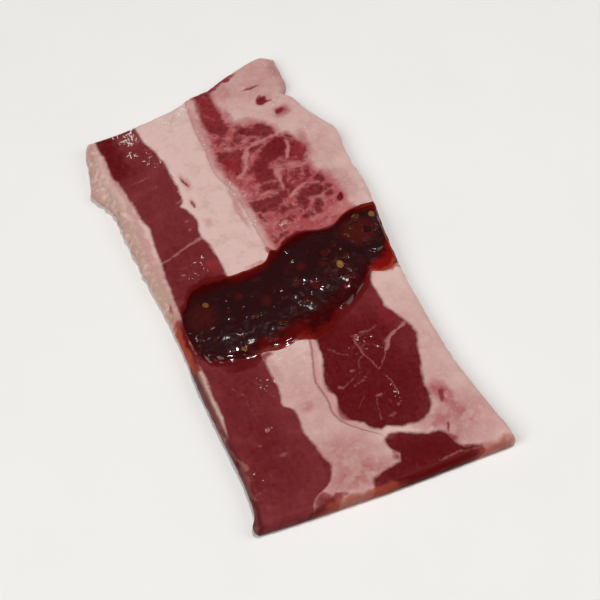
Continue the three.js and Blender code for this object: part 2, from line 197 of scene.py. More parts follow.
# Pale patches in the lean: flecks of fat, and small ones in the lower eye and along the strip are
# partly painted glints of wet highlights
PALE_FLECKS_AND_GLINTS = [
    (17.8, 48, 4.2, 2.2, -8, 0.5), (22.6, 52.6, 1, 3.4, -22, 0.7), (7.6, 56, 1.3, 3, -30, 0.7),
    (4.2, 46.5, 3, 3, 0, 0.35), (2.4, 40, 2.4, 3.6, 0, 0.6), (8.8, 37.2, 3, 1, 8, 0.7),
    (15.4, 43, 1.3, 3, -10, 0.6), (17.6, 33.6, 2.8, 0.9, 35, 0.75), (11, 64.3, 2, 1.4, 30, 0.6),
    (4, 66, 3.2, 2.6, 0, 0.4), (29.5, 20.5, 4.5, 3, 0, 0.75), (22.5, 46.6, 3, 1.3, 0, 0.6),
    (26.3, 27, 2, 1.7, 0, 0.55), (5, 23.5, 5, 2.4, 0, 0.5), (3, 62.5, 3, 1, 0, 0.5),
    (1, 86, 0.9, 6, 4, 0.3), (4.6, 90, 0.8, 4, -6, 0.3), (3, 80, 0.8, 3, 20, 0.3),
    (22, 20, 4, 1.6, 0, 0.5), (9.5, 22.3, 1.6, 1, 30, 0.8), (14, 26, 5, 1.2, 0, 0.4),
    (5, 18, 2, 3, 0, 0.4), (-25.2, -53.8, 1.4, 0.8, 30, 0.7), (-24, -64.6, 1.8, 1.1, 0, 0.5),
    (-29.5, -58, 0.9, 0.6, 0, 0.5), (-26, -46, 3.4, 2.4, 0, 0.2), (-29.2, 15.4, 0.9, 0.7, 0, 0.6),
    (-21.2, 37, 0.8, 0.7, 0, 0.6), (-20.8, 32.6, 0.7, 0.7, 0, 0.6), (-26, 56, 1.8, 0.6, 30, 0.3),
    (7.2, -43.8, 1.2, 0.7, 20, 0.55), (1.6, -48, 1.2, 0.7, -20, 0.5),
    (11.2, -55.6, 1.4, 0.5, 10, 0.6), (16.2, -61, 1, 0.8, 0, 0.45),
    (12.8, -63.5, 1.8, 0.7, 0, 0.4), (16.8, -31, 1.8, 0.6, 0, 0.5), (14, -37.5, 2.4, 3, 20, 0.22),
    (9, -35, 3, 2, 0, 0.2), (-20, 46, 1.6, 1, 20, 0.5), (-26.5, 82, 5.5, 5.5, 0, 0.3),
]
PINK_FAT = [
    (24, 62, 22, 60, 0, 0.3), (28, -50, 15, 36, 0, 0.36), (-10, -55, 14, 27, 0, 0.4),
    (-5, -73, 13, 9, 0, 0.45), (-5, -81, 15, 5, 0, 0.6), (27.5, -74, 5, 6, 0, 0.25),
    (34, -76, 12, 12, 0, 0.42), (33, 30, 7, 9, 0, 0.35), (31.5, 25.2, 2.6, 3.8, -28, 0.7),
    (35, 50, 7, 10, 0, 0.12), (24, 92, 14, 12, 0, 0.28), (33.5, 93, 2.8, 10, 0, 0.3),
    (27.5, 72.2, 4, 2.4, 30, 0.8), (24, 80.4, 4, 2, 20, 0.3), (29.4, -62, 3, 4.4, 20, 0.9),
    (-15.8, 54, 1.8, 5, 8, 0.5), (-16, 43, 1.6, 3, 0, 0.5), (-14.6, 33, 2, 2.6, 0, 0.35),
    (-2.8, 70, 1.6, 24, 0, 0.5), (-2.4, 35, 1.4, 12, 0, 0.5), (22, -71, 6, 2, -8, 0.5),
    (31.5, -69, 1.8, 7, 20, 0.5), (-37, 30, 1.6, 50, 0, 0.45), (-38.5, 70, 2, 14, 0, 0.4),
    (-11, -51, 2.2, 2, 0, 0.4), (10, 90, 5, 5, 0, 0.4), (29.6, 54, 2, 7, 0, 0.5),
    (31.5, 34, 2.4, 6, 0, 0.5), (27.5, 44, 2, 3, 0, 0.5), (14, 73, 5, 1.6, -10, 0.5),
    (9, 78, 1.8, 5, 0, 0.6), (-15, -35, 2, 6, 0, 0.3),
]
JUICE = [
    (-23, -27, 9, 3.6, -6, 0.7), (27.2, 72.8, 2.6, 1.3, 26, 0.5), (23, 80.6, 2.6, 1.6, 20, 0.7),
    (29.6, -62, 1.6, 2, 25, 0.3), (-13.5, -85, 4, 1.4, 0, 0.4), (3, -84.4, 5, 1.2, 0, 0.4),
    (19, -87.6, 12, 2.6, 0, 1), (5, -87.2, 5, 2.4, 0, 0.7), (-15.6, -87.6, 2.4, 2.2, 0, 0.6),
    (-18.6, -84.2, 5, 2.8, 0, 0.55), (-31, -87.8, 10, 2, 0, 0.8), (-21, -87.6, 4.5, 2.4, 0, 0.8),
    (0, -27, 14, 1, 0, 0.25), (33, -10.4, 7, 1, 0, 0.3), (-37.5, -13, 2.4, 12, 0, 0.8),
    (17, -79, 12, 5, -8, 0.6), (31.5, 25.2, 1.1, 2.4, -28, 0.9), (-38, 3, 1, 3, 0, 0.35),
    (28, -84.6, 4, 1.2, 10, 0.6), (9, 93.6, 6, 2, 28, 0.5), (15.6, 96.6, 5, 1.3, 20, 0.42),
]
CHILLI_OIL = [
    (-8, -87.5, 15, 2.3, 0, 0.95), (38, -87.4, 7, 3.2, 0, 0.85), (-39, -13, 1.8, 12, 0, 0.9),
    (0.8, 12.8, 1.4, 1.8, 0, 0.9), (9, -71, 4, 1.2, 0, 0.3), (-38.6, -47, 1, 3, 0, 0.5),
    (-6, 8.6, 6, 0.8, 0, 0.6), (36, -10.5, 4, 1.4, 0, 0.7), (-40.5, 79, 3, 9, 0, 0.3),
]
# Where the surface is torn or beaded with moisture, and glints
BEADED = [
    (-28, 80, 9, 7, 0, 1), (-13, 84, 9, 6, 0, 0.8), (-12, 16, 7, 6, 0, 0.6), (-1, 26, 4, 5, 0, 1),
    (9, 22, 2.5, 2.5, 0, 1), (-27, 14, 6, 7, 0, 0.7), (-2, 44, 2.4, 8, 0, 0.7),
    (-3, 68, 2.4, 16, 0, 0.6), (29, 78, 3, 3, 0, 0.8), (33, 57, 4, 8, 0, 0.5),
    (3, 88, 3.4, 7, 0, 0.7), (-28, -38, 6, 8, 0, 0.5), (15, -36, 9, 5, 0, 0.6),
    (14, -60, 7, 5, 0, 0.5), (-34, -72, 4, 10, 0, 0.6), (0, -66, 4, 3, 0, 0.5),
    (16, -67, 8, 3, 0, 0.4),
]

# Torn wet shreds, made near-white so that they are also painted highlights where the wet face
# glints: (x, y, spread x, spread y, how many, length), mm
GLINT_SHREDS = [
    (-28, 82.5, 3, 3, 30, 2.2), (-28.5, 75, 1.4, 2, 8, 2.0), (-20.8, 85, 1, 1, 6, 2.0),
    (-18, 82, 0.8, 2, 7, 2.0), (-12, 84, 2.6, 2, 16, 2.4), (-6, 87, 2.6, 1.4, 12, 2.2),
    (-9, 78, 1.2, 1.2, 4, 1.6), (-24, 68, 3, 4, 8, 1.1), (-22.4, 71, 1.6, 5, 26, 0.6),
    (-19, 50, 1.4, 5, 12, 0.6), (-3.4, 68, 1, 8, 8, 1.2), (-2, 44, 1.2, 4, 12, 1.3),
    (-1, 26, 2.2, 2.6, 12, 1.4), (9, 22, 1.2, 1.2, 8, 1.3), (1, 41, 1.2, 3, 6, 1.2),
    (-22, 17, 3, 3.4, 12, 1.1), (-27, 13, 3, 2, 4, 0.9), (33, 57, 1.6, 6, 14, 1.0),
    (28.5, 77.5, 1.4, 1.4, 4, 1.3), (-21, -37, 2.6, 3, 9, 0.9), (-13, -33, 2.4, 5, 8, 1.2),
    (-4, -31, 2, 4, 5, 1.2), (15, -33, 1.6, 3, 6, 1.0), (16.4, -58, 0.8, 4, 7, 1.0),
    (-25, -53.8, 1, 0.8, 2, 0.8), (-11, 12, 3.4, 2, 14, 0.8), (-9, 20, 3.4, 4, 8, 0.8),
    (33, -22, 2.4, 5, 8, 0.8), (-8, -38, 3, 6, 10, 0.8),
]

# ---- Veins of fat: (width, strength, [x, y] points), mm ------------------------------------

VEINS = [
    (1.0, 1.0, [(7.6, 57.5), (9.6, 60), (12.5, 61.2), (16, 61.8), (20.4, 62.4)]),
    (0.6, 0.7, [(9, 62.6), (12, 64), (14.8, 64.4)]),
    (0.5, 0.6, [(8.5, 69), (11, 66.6), (13.5, 64.6)]),
    (1.1, 0.9, [(9.2, 58.4), (8, 55.4), (6.6, 52), (4.6, 49.4), (2.2, 48.6)]),
    (1.0, 0.9, [(24.2, 58.2), (23.4, 54), (21.4, 50.4)]),
    (0.6, 0.6, [(20.6, 62.4), (24, 61), (26.4, 57.6)]),
    (1.0, 0.8, [(27.6, 45.8), (24, 44.8), (20, 45.4), (16, 46.4)]),
    (0.9, 0.8, [(15.4, 46), (15.6, 41), (14.8, 36.6)]),
    (0.8, 0.7, [(0.5, 36.6), (5, 36), (9, 37.5), (12.4, 36)]),
    (0.9, 0.8, [(15.6, 32.6), (19, 35), (23, 36.4), (27, 35)]),
    (0.7, 0.6, [(16.6, 31), (15, 28.4)]),
    (0.8, 0.7, [(22, 29.4), (25, 28.4), (28, 29.6)]),
    (0.5, 0.6, [(20.4, 22), (21.4, 26), (23.4, 29)]),
    (0.6, 0.6, [(0.5, 64), (4, 62.6), (8, 61)]),
    (0.5, 0.5, [(2, 70.5), (6, 65.6), (8.4, 62)]),
    (0.5, 0.5, [(19, 44), (22.4, 40), (24.4, 36.6)]),
    (1.0, 0.85, [(29.8, -33.4), (26, -34.9), (22.6, -36.8), (20.3, -40.5)]),
    (0.8, 0.6, [(20.3, -40.5), (18.4, -43.6), (15.4, -46.4)]),
    (0.5, 0.4, [(12, -30.6), (14.6, -32.4), (18, -31.4), (21, -30.2)]),
    (0.5, 0.45, [(20, -40.2), (18, -37.4), (15, -35.6), (13, -36.6)]),
    (0.4, 0.4, [(13.4, -39), (10.6, -41.2), (9.6, -44)]),
    (0.6, 0.4, [(12.6, -46), (9, -48.4), (5.6, -49.6)]),
    (0.5, 0.4, [(10.4, -45), (5.5, -47), (1.8, -48.8)]),
    # The next three follow lines of white glints on the wet lean: partly fat, partly painted
    # highlights
    (0.6, 0.6, [(13.2, -31.5), (12.4, -35), (13.4, -40), (15.4, -46.2)]),
    (0.4, 0.6, [(15.7, -48.7), (17.3, -52), (17.2, -57)]),
    (0.45, 0.45, [(10.4, -55.8), (9.6, -60), (8.8, -64)]),
    (0.4, 0.35, [(3.4, -57.6), (7, -54)]),
    (0.4, 0.4, [(3, -33), (6, -36), (8.6, -38)]),
    (0.8, 0.75, [(-34.8, 22.4), (-30, 23.8), (-25, 26), (-21, 27.3), (-17.6, 28)]),
    (0.6, 0.4, [(-33, 60.6), (-29, 60.8), (-24.4, 61.6)]),
    (0.5, 0.3, [(-28, 57), (-26, 55.4), (-24, 55.6)]),
    (0.5, 0.3, [(-22, 66), (-21.4, 60)]),
    (0.7, 0.4, [(-22, -36), (-19.6, -41), (-17.4, -46)]),
    (0.5, 0.3, [(-30, -35), (-27, -39), (-27.4, -45)]),
    (0.8, 0.5, [(19, -84.6), (25, -84.2), (32, -85.2)]),
    (1.5, 0.8, [(-38.2, -16), (-38, -30), (-38.4, -40), (-38.2, -47)]),
    (1.0, 1.0, [(-38.8, -49), (-38.7, -55), (-37.6, -60), (-36.2, -64.6)]),
    (1.2, 0.9, [(-37.3, -64), (-37.7, -70), (-37.6, -75.5)]),
    (0.6, 0.7, [(-38.4, -75.5), (-39, -80), (-39.4, -83)]),
    (1.6, 1.0, [(-42, -87), (-40.4, -84)]),
    (0.6, 0.35, [(-37, -74.6), (-33, -73.6)]),
]

# Cuts and tears in the fat: (from, to, width, depth), mm
SLITS = [
    ((17, 88), (25.5, 88), 1.5, 0.4), ((20.6, 79), (23.4, 83.5), 1.7, 0.5),
    ((21, 79.2), (27, 79.4), 1.7, 0.5), ((25.2, 72), (28.6, 73.4), 1.3, 0.5),
    ((-16.8, 57.4), (-15, 50.4), 1.3, 0.4), ((-16.2, 45.2), (-16.4, 41), 1.3, 0.4),
    ((30.4, -60.4), (28.2, -66), 2.2, 0.35), ((25.4, -76.8), (27.2, -73), 0.9, 0.4),
]
CREASES = [
    ((34, -64), (29.5, -72.5), 0.9, 0.5), ((-43, 71), (-41.6, 55), 0.9, 0.5),
    ((34.8, 45), (35.2, 37), 0.9, 0.25),
    ((33.4, -55), (31.6, -60), 0.8, 0.3), ((30, 99), (30.6, 86), 1.2, 0.4),
]

# Mounds of the sauce: (x, y, reach x, reach y, height), mm
MOUNDS = [
    (-26, -9, 11, 14, 2.9), (-11, -8, 10, 12, 2.2), (4, -4, 9, 12, 2.6), (18, 1, 12, 12, 3.1),
    (33, 7, 9, 8, 2.3),
]
# Where oil stands on the sauce: patches as above
OILY = [
    (2, -3.4, 2.8, 2.4, 0, 1), (-10.3, -5.6, 2, 1.8, 0, 1), (10.5, -8.4, 5.5, 4, 0, 1),
    (-24.5, -9.8, 5, 1.8, 0, 0.9), (19.5, -15.2, 6.4, 4, 25, 1.3), (-26, -23, 9, 3.4, -8, 1),
    (-10, -25.4, 6, 2, 0, 1), (8.6, 4.5, 3, 3.6, 0, 0.7), (34, -1.8, 3, 2, 0, 0.8),
    (37.4, 10, 2, 2, 0, 0.7), (-31, -14, 2, 3, 0, 0.6), (26, 6, 4, 3, 0, 0.4),
]
# Where the paste is redder than elsewhere: patches as above
REDDER = [(31, 7, 7, 6, 20, 0.8), (-30, -6, 6, 7, 0, 0.5), (20, -6, 6, 4, 0, 0.3)]
# Beads of thick sauce that stand up along its edge: (height, width, [x, y] points), mm
BEADS_OF_SAUCE = [
    (0.55, 0.9, [(14, -18.8), (18.4, -16.8), (23.4, -12.8)]),
    (0.35, 0.7, [(-32, -20), (-28, -22.6), (-22, -24.4)]),
    (0.3, 0.6, [(-14, -24.2), (-9, -25), (-5.4, -24.6)]),
    (0.3, 0.6, [(31, -1.4), (33, -2.6), (35.6, -1.8)]),
]
# Flakes that light comes through: (x, y, length, brightness), mm
CLEAR_FLAKES = [
    (8.5, -8.4, 4.4, 0.9), (18.6, -11.6, 4.8, 1), (21.5, -9.6, 3.4, 0.9), (-21, -11.5, 3, 0.5),
    (-20, -21, 3, 0.8), (29, 9, 3, 0.5), (16, 1, 3.4, 0.5), (13.5, -5.6, 2.6, 0.8),
    (35, 6.6, 2.6, 0.6),
]
# Seeds that stand out of the sauce: (x, y, length, stain), mm
CLEAR_SEEDS = [
    (-27, -1.6, 2.6, 0.25), (32.5, 14, 2.8, 0.75), (37.6, 12, 2.7, 0.3), (19.4, -4.8, 3, 0.1),
    (35.4, 5.4, 2.2, 0.85), (-21, -22.4, 2.2, 0.4), (29, 9, 2.2, 0.9),
]

# ---- Relief: (height, size across, shift) of each set of bumps, mm --------------------------

LUMPS = ((0.1, 4.5, 8), (0.05, 1.7, 9))
LOBULES = ((0.05, 2.4, 12), (0.03, 1.1, 13))
MOISTURE = ((0.26, 1.4, 29), (0.1, 0.8, 30))
RIM_FAT = ((0.22, 2.2, 36), (0.12, 1.1, 37))
SAUCE_SKIN = ((0.16, 3.3, 21), (0.06, 1.2, 22))

# ---- Single places and sizes, mm -------------------------------------------------------------

SEAM_FROM = -69  # the seam shows from this y to the far end
TAB_CORNER = (33, 84)  # past this x and y the tab of fat thins
TAB_DROP = 2.2
GRISTLE = (28.5, 77.5)
GRISTLE_REACH, GRISTLE_RISE = 1.7, 0.55
# a slit's colour darkens with depth as painted shade of the cut
SLIT_FULL = 0.5  # depth at which a slit is as dark as it gets
FACE_ROUNDING, FACE_ROUNDING_REACH = 0.75, 0.7  # how the cut face falls away at its edge
RIM_WIDTH = 3.2  # width of the knobbly fat along the outer rim
HOLLOW, HOLLOW_MARGIN = 0.12, 2  # depth of the underside's hollows, and how far in they start
# The cut wall, from the face down: height and reach of each ring, as shares
WALL_SHAPE = (
    (0.95, 0.32), (0.85, 0.68), (0.68, 0.92), (0.46, 1.0), (0.24, 0.93), (0.08, 0.66),
    (0.0, 0.35),
)
RIM_BULGES = ((64, 6, 3.1), (-83, 2.6, 1.7))  # soft bulges on the outer rim: y, reach, size
MOUND_LIMIT = 4  # the sauce's mounds run together below this height
SAUCE_FOOT = 0.1  # how far the sauce's foot sits in the face
SAUCE_WALL = ((0.65, 0.12), (0.0, 0.1))  # its rings: height as a share, and reach
CHUNK_FIELD = ((-36, -27), (40, 18))  # near and far corners of where the bits lie

# ---- Studio: metres and degrees ---------------------------------------------------------------

FLOOR_REACH, FLOOR_GAP = 3.0, 0.0002
FLOOR_CORNERS = ((-1, -1), (1, -1), (1, 1), (-1, 1))
LIGHTS = (  # name, place, side
    ("main", (-1.15, -0.25, 1.15), 1.2),
    ("side", (1.15, -0.5, 0.95), 1.0),
    ("key", (0.25, -0.05, 1.6), 0.16),
)
SENSOR_WIDTH = 36.0  # mm
CAMERA_AT = (-0.086054, -0.315995, 0.408)
CAMERA_TURN = (37.4953, 3.4495, -21.3695)

# ---- What the finishes read at each point of a mesh -----------------------------------------

MEAT_FIELDS = (
    "lean", "rich", "bright", "pale", "vein", "pink", "beads", "juice", "laced", "chilli_oil",
    "seam", "seam_shown", "near_part", "slit", "from_rim", "wall",
)
SAUCE_FIELDS = ("depth", "tone", "pale_under", "oily")

NOISE_SIDE = 256
NOISE = np.random.default_rng(11).uniform(-1, 1, (NOISE_SIDE, NOISE_SIDE))


# ---- Drawing helpers -----------------------------------------------------------------------


def through(points):
    """A smooth line through [at, value] points. It is level past its ends."""
    at, value = np.array(points, dtype=float).T
    slope = np.gradient(value, at)

    def line(where):
        where = np.clip(where, at[0], at[-1])
        i = np.clip(np.searchsorted(at, where) - 1, 0, len(at) - 2)
        span = at[i + 1] - at[i]
        s = (where - at[i]) / span
        rise = s * s * (3 - 2 * s)
        leave = s * (1 - s) ** 2 * span * slope[i]
        arrive = s * s * (s - 1) * span * slope[i + 1]
        return value[i] + (value[i + 1] - value[i]) * rise + leave + arrive

    return line


rim_face, rim_line, strip_line = through(RIM_FACE), through(RIM_LINE), through(STRIP_LINE)
seam_line, far_face = through(SEAM), through(FAR_FACE)
near_end, far_end = through(NEAR_END), through(FAR_END)
sauce_far, sauce_near = through(SAUCE_FAR), through(SAUCE_NEAR)


def ripple(x, y, size, shift):
    """Smooth noise between -1 and 1 whose bumps are about size mm across."""
    u = np.asarray(x, dtype=float) / size + 13.7 * shift
    v = np.asarray(y, dtype=float) / size + 29.3 * shift
    i, j = np.floor(u).astype(int), np.floor(v).astype(int)
    s, t = u - i, v - j
    s, t = s * s * (3 - 2 * s), t * t * (3 - 2 * t)

    def row(j):
        left = NOISE[i % NOISE_SIDE, j % NOISE_SIDE]
        right = NOISE[(i + 1) % NOISE_SIDE, j % NOISE_SIDE]
        return left * (1 - s) + right * s

    return row(j) * (1 - t) + row(j + 1) * t


def relief(x, y, bumps):
    """Height of several sets of bumps, mm."""
    return sum(height * ripple(x, y, size, shift) for height, size, shift in bumps)


def step(distance, softness):
    """0 to 1 as distance goes from -softness to softness."""
    s = np.clip(0.5 + 0.5 * distance / softness, 0, 1)
    return s * s * (3 - 2 * s)


def bump(distance, reach):
    """1 at no distance, fading to 0 past reach."""
    return np.exp(-((distance / reach) ** 2))


def to_segment(x, y, start, end):
    """Distance from points to a straight stretch, and how far along it they lie, 0 to 1."""
    ex, ey = end[0] - start[0], end[1] - start[1]
    t = np.clip(((x - start[0]) * ex + (y - start[1]) * ey) / (ex * ex + ey * ey), 0, 1)
    return np.hypot(x - start[0] - t * ex, y - start[1] - t * ey), t


def to_path(x, y, points):
    """Distance from points to a path."""
    stretches = zip(points, points[1:])
    return np.minimum.reduce([to_segment(x, y, start, end)[0] for start, end in stretches])


def inside(x, y, outline):
    """Distance to a closed outline, positive inside it."""
    within = np.zeros(np.shape(x), dtype=bool)
    for start, end in zip(outline, outline[1:] + outline[:1]):
        if start[1] != end[1]:
            crosses = (start[1] > y) != (end[1] > y)
            at = start[0] + (end[0] - start[0]) * (y - start[1]) / (end[1] - start[1])
            within ^= crosses & (x < at)
    away = to_path(x, y, outline + outline[:1])
    return np.where(within, away, -away)


def patches(x, y, listed, ragged=0.7):
    """Soft-edged patches, each fading from its strength at the middle, joined without steps."""
    x = x + ragged * (ripple(x, y, 3.1, 1) + 0.6 * ripple(x, y, 1.3, 2))
    y = y + ragged * (ripple(x, y, 3.1, 3) + 0.6 * ripple(x, y, 1.3, 4))
    left = np.ones(np.shape(x))
    for at_x, at_y, reach_x, reach_y, turn, strength in listed:
        c, s = math.cos(math.radians(turn)), math.sin(math.radians(turn))
        along = ((x - at_x) * c + (y - at_y) * s) / reach_x
        across = ((y - at_y) * c - (x - at_x) * s) / reach_y
        left *= 1 - strength * np.exp(-((along**2 + across**2) ** 2))
    return 1 - left


# ---- Slice: its fields and its form --------------------------------------------------------


def lean_depth(x, y):
    """How far inside a muscle a point is, mm. It is negative in fat."""
    strip = np.minimum(x - rim_line(y), strip_line(y) - x)
    muscles = np.maximum(inside(x, y, EYE), inside(x, y, NEAR_MUSCLE))
    return np.maximum(strip, muscles)


def lobe_depth(x, y):
    """How far inside one of the eye's solid lobes a point is, mm."""
    shaken_x = x + relief(x, y, ((0.4, 1.5, 24), (0.2, 0.7, 25)))
    shaken_y = y + relief(x, y, ((0.4, 1.5, 26), (0.2, 0.7, 27)))
    return np.maximum.reduce([inside(shaken_x, shaken_y, outline) for outline in LOBES])


def slit_depth(x, y, cuts):
    """Depth of cuts that are lens shaped from above, mm."""
    deepest = np.zeros(np.shape(x))
    x = x + 0.3 * ripple(x, y, 1.3, 41)
    y = y + 0.3 * ripple(x, y, 1.3, 42)
    for start, end, width, depth in cuts:
        away, along = to_segment(x, y, start, end)
        taper = 1 - (2 * along - 1) ** 2
        lens = np.clip(taper - (2 * away / width) ** 2 + 0.25, 0, 1)
        deepest = np.maximum(deepest, depth * lens)
    return deepest


def face_height(x, y, sizes):
    """Height of the slice's cut face, mm."""
    wave = np.sin(x / 12 + 0.5) * np.cos(y / 27) + 0.3 * ripple(x, y, 14, 7)
    seam = x - seam_line(y)
    near_part = step(-20 - y, 8)
    uneven = 0.7 + 0.5 * ripple(x, y, 6, 28)
    groove = uneven * (bump(seam, 0.8) * (0.08 + 0.16 * near_part) - 0.04 * bump(seam - 1.6, 1.2))
    groove = groove * step(y - SEAM_FROM, 3)
    tab = TAB_DROP * step(x - TAB_CORNER[0], 3) * step(y - TAB_CORNER[1], 2)
    gristle = GRISTLE_RISE * bump(np.hypot(x - GRISTLE[0], y - GRISTLE[1]), GRISTLE_REACH)
    raised = sizes.fat_lift * step(-0.8 - lean_depth(x, y), 3)
    height = sizes.thickness + 0.4 * wave + raised - groove - tab + relief(x, y, LUMPS) + gristle
    return height - slit_depth(x, y, SLITS) - slit_depth(x, y, CREASES)


def fibre_height(x, y):
    """Fine relief, mm: bundles of muscle fibre in the lean, lobules in the fat. It is strong
    only where the surface is torn or beaded with moisture."""
    fibres = 0.05 * ripple(x, y * 0.35, 1.1, 10) + 0.025 * ripple(x, y * 0.5, 0.7, 11)
    share = step(lean_depth(x, y), 0.5)
    fine = (fibres * share + relief(x, y, LOBULES) * (1 - share)) * 0.6
    return fine + relief(x, y, MOISTURE) * patches(x, y, BEADED, 1.5)


def slice_fields(x, y):
    """What the meat's finish needs at each point."""
    lean = lean_depth(x, y)
    near_part = step(-8 - y, 8)
    veins = np.zeros(np.shape(x))
    shaken_x = x + 0.35 * ripple(x, y, 1.6, 14)
    shaken_y = y + 0.35 * ripple(x, y, 1.6, 15)
    uneven_width = np.clip(0.7 + 0.55 * ripple(x, y, 2.6, 31), 0.12, 2)
    for width, strength, points in VEINS:
        away = to_path(shaken_x, shaken_y, points)
        veins = np.maximum(veins, strength * bump(away, width * uneven_width))
    in_strip = step(-14 - x, 2)
    laced = (1 - in_strip) * (1 - near_part)
    off_sauce = np.maximum(sauce_near(x) - y, y - sauce_far(x))
    reach = (2.6 - 1.6 * laced) * step(lean, 1)
    soaked = step(reach - off_sauce, 1.6 - 0.7 * laced) * step(x + 37, 1)
    lobes = step(lobe_depth(x, y) + 0.35, 1.3)
    base = 0.78 - 0.1 * in_strip
    rich = base + (1 - base) * patches(x, y, DARK_LEAN)
    rich = rich * (1 - laced) + laced * (0.1 + (rich - 0.1) * lobes)
    return {
        "lean": np.clip(lean, -6, 6),
        "rich": np.clip(rich, 0, 1),
        "bright": patches(x, y, BRIGHT_LEAN),
        "pale": patches(x, y, PALE_FLECKS_AND_GLINTS, 0.5),
        "vein": veins,
        "pink": patches(x, y, PINK_FAT),
        "beads": patches(x, y, BEADED, 1.5),
        "juice": np.maximum(patches(x, y, JUICE, 0.8), 0.75 * soaked),
        "laced": laced,
        "chilli_oil": patches(x, y, CHILLI_OIL, 0.8),
        "seam": x - seam_line(y),
        "seam_shown": step(y - SEAM_FROM, 3),
        "near_part": near_part,
        "slit": slit_depth(x, y, SLITS) / SLIT_FULL,
        "from_rim": x - rim_face(y),
    }


def lattice(columns, rows):
    """x and y of the cut face's points. Rows run from the near end to the far end."""
    u, v = np.meshgrid(np.linspace(0, 1, columns + 1), np.linspace(0, 1, rows + 1))
    x, y = np.zeros_like(u), np.zeros_like(u)
    for _ in range(8):
        y = near_end(x) + (far_end(x) - near_end(x)) * v
        x = rim_face(y) + (far_face(y) - rim_face(y)) * u
    return x, y


def round_edge(grid):
    """The points round the edge of a lattice, anticlockwise from its first corner."""
    return np.concatenate([grid[0, :-1], grid[:-1, -1], grid[-1, :0:-1], grid[:0:-1, 0]])


def round_way(rim):
    """The way from the point before to the point after each point round a rim."""
    return np.roll(rim, -1, 0) - np.roll(rim, 1, 0)


def outward(rim, smoothing=0):
    """Level directions out of a rim, 1 long, averaged along it as often as smoothing says."""
    way = round_way(rim)
    out = np.stack([way[:, 1], -way[:, 0]], -1)
    for _ in range(smoothing):
        out = (np.roll(out, 1, 0) + out + np.roll(out, -1, 0)) / 3
    return out / np.maximum(np.linalg.norm(out, axis=1, keepdims=True), 1e-6)


def closed_slab(top, rings, under):
    """Corners and faces of a closed body: a lattice on top, rings down its wall, and a lattice
    with half as many columns and rows underneath, which ends on the last ring."""
    rows, columns = top.shape[0] - 1, top.shape[1] - 1
    corners = [top.reshape(-1, 3)]
    index = np.arange((rows + 1) * (columns + 1)).reshape(rows + 1, columns + 1)
    faces = np.stack([index[:-1, :-1], index[:-1, 1:], index[1:, 1:], index[1:, :-1]], -1)
    quads = [faces.reshape(-1, 4)]
    start = index.size
    edge = round_edge(index)
    for ring in rings:
        below = start + np.arange(len(ring))
        corners.append(ring)
        start += len(ring)
        quads.append(np.stack([edge, below, np.roll(below, -1), np.roll(edge, -1)], -1))
        edge = below

    half_rows, half_columns = rows // 2, columns // 2
    half = np.full((half_rows + 1, half_columns + 1), -1)
    inner = (half_rows - 1, half_columns - 1)
    half[1:-1, 1:-1] = start + np.arange(inner[0] * inner[1]).reshape(inner)
    corners.append(under[1:-1, 1:-1].reshape(-1, 3))
    every_other = edge[::2]
    split = np.cumsum([half_columns, half_rows, half_columns])
    near, right, far, left = np.split(every_other, split)
    half[0, :-1] = near
    half[:-1, -1] = right
    half[-1, :0:-1] = far
    half[:0:-1, 0] = left
    faces = np.stack([half[:-1, :-1], half[1:, :-1], half[1:, 1:], half[:-1, 1:]], -1)
    quads.append(faces.reshape(-1, 4))
    triangles = np.stack([every_other, np.roll(every_other, -1), edge[1::2]], -1)
    all_faces = np.concatenate(quads).tolist() + triangles[:, ::-1].tolist()
    return np.concatenate(corners), all_faces


def new_piece(name, points, faces, fields, material):
    """A smooth mesh object from points in drawn millimetres, with fields as attributes."""
    placed = np.array(points, dtype=float)
    placed[:, :2] -= MIDDLE
    mesh = bpy.data.meshes.new(name)
    mesh.from_pydata(placed * MM, [], faces)
    mesh.update()
    mesh.shade_smooth()
    for field, values in fields.items():
        made = mesh.attributes.new(field, "FLOAT", "POINT")
        made.data.foreach_set("value", np.asarray(values, dtype=np.float32).ravel())
    mesh.materials.append(material)
    piece = bpy.data.objects.new(name, mesh)
    bpy.context.scene.collection.objects.link(piece)
    return piece


def wall_rings(rim, walk, sizes):
    """Rings of points down the slice's wall, from the points round its face."""
    out = outward(rim, 3)
    y = rim[:, 1]
    at_rim = np.clip(-out[:, 0], 0, 1) ** 2
    bulges = sum(size * bump(y - at, reach) for at, reach, size in RIM_BULGES)
    rim_reach = sizes.rim_bulge * (0.45 + 0.55 * step(y + 12, 10))
    reach = sizes.wall_bulge + (rim_reach - sizes.wall_bulge + bulges) * at_rim
    far_rim = step(y - 20, 20)
    rings = []
    for level, share in WALL_SHAPE:
        uneven = 0.14 * ripple(walk, level * 6, 2.3, 16) + 0.08 * ripple(walk, level * 9, 0.9, 17)
        ragged = 0.6 * ripple(walk, level * 5, 2.0, 35) + 0.3 * ripple(walk, level * 7, 0.9, 38)
        far_out = reach * share + (uneven + ragged * at_rim * far_rim) * min(1, 4 * level)
        flat = rim[:, :2] + out * far_out[:, None]
        rings.append(np.column_stack([flat, rim[:, 2] * level]))
    return rings


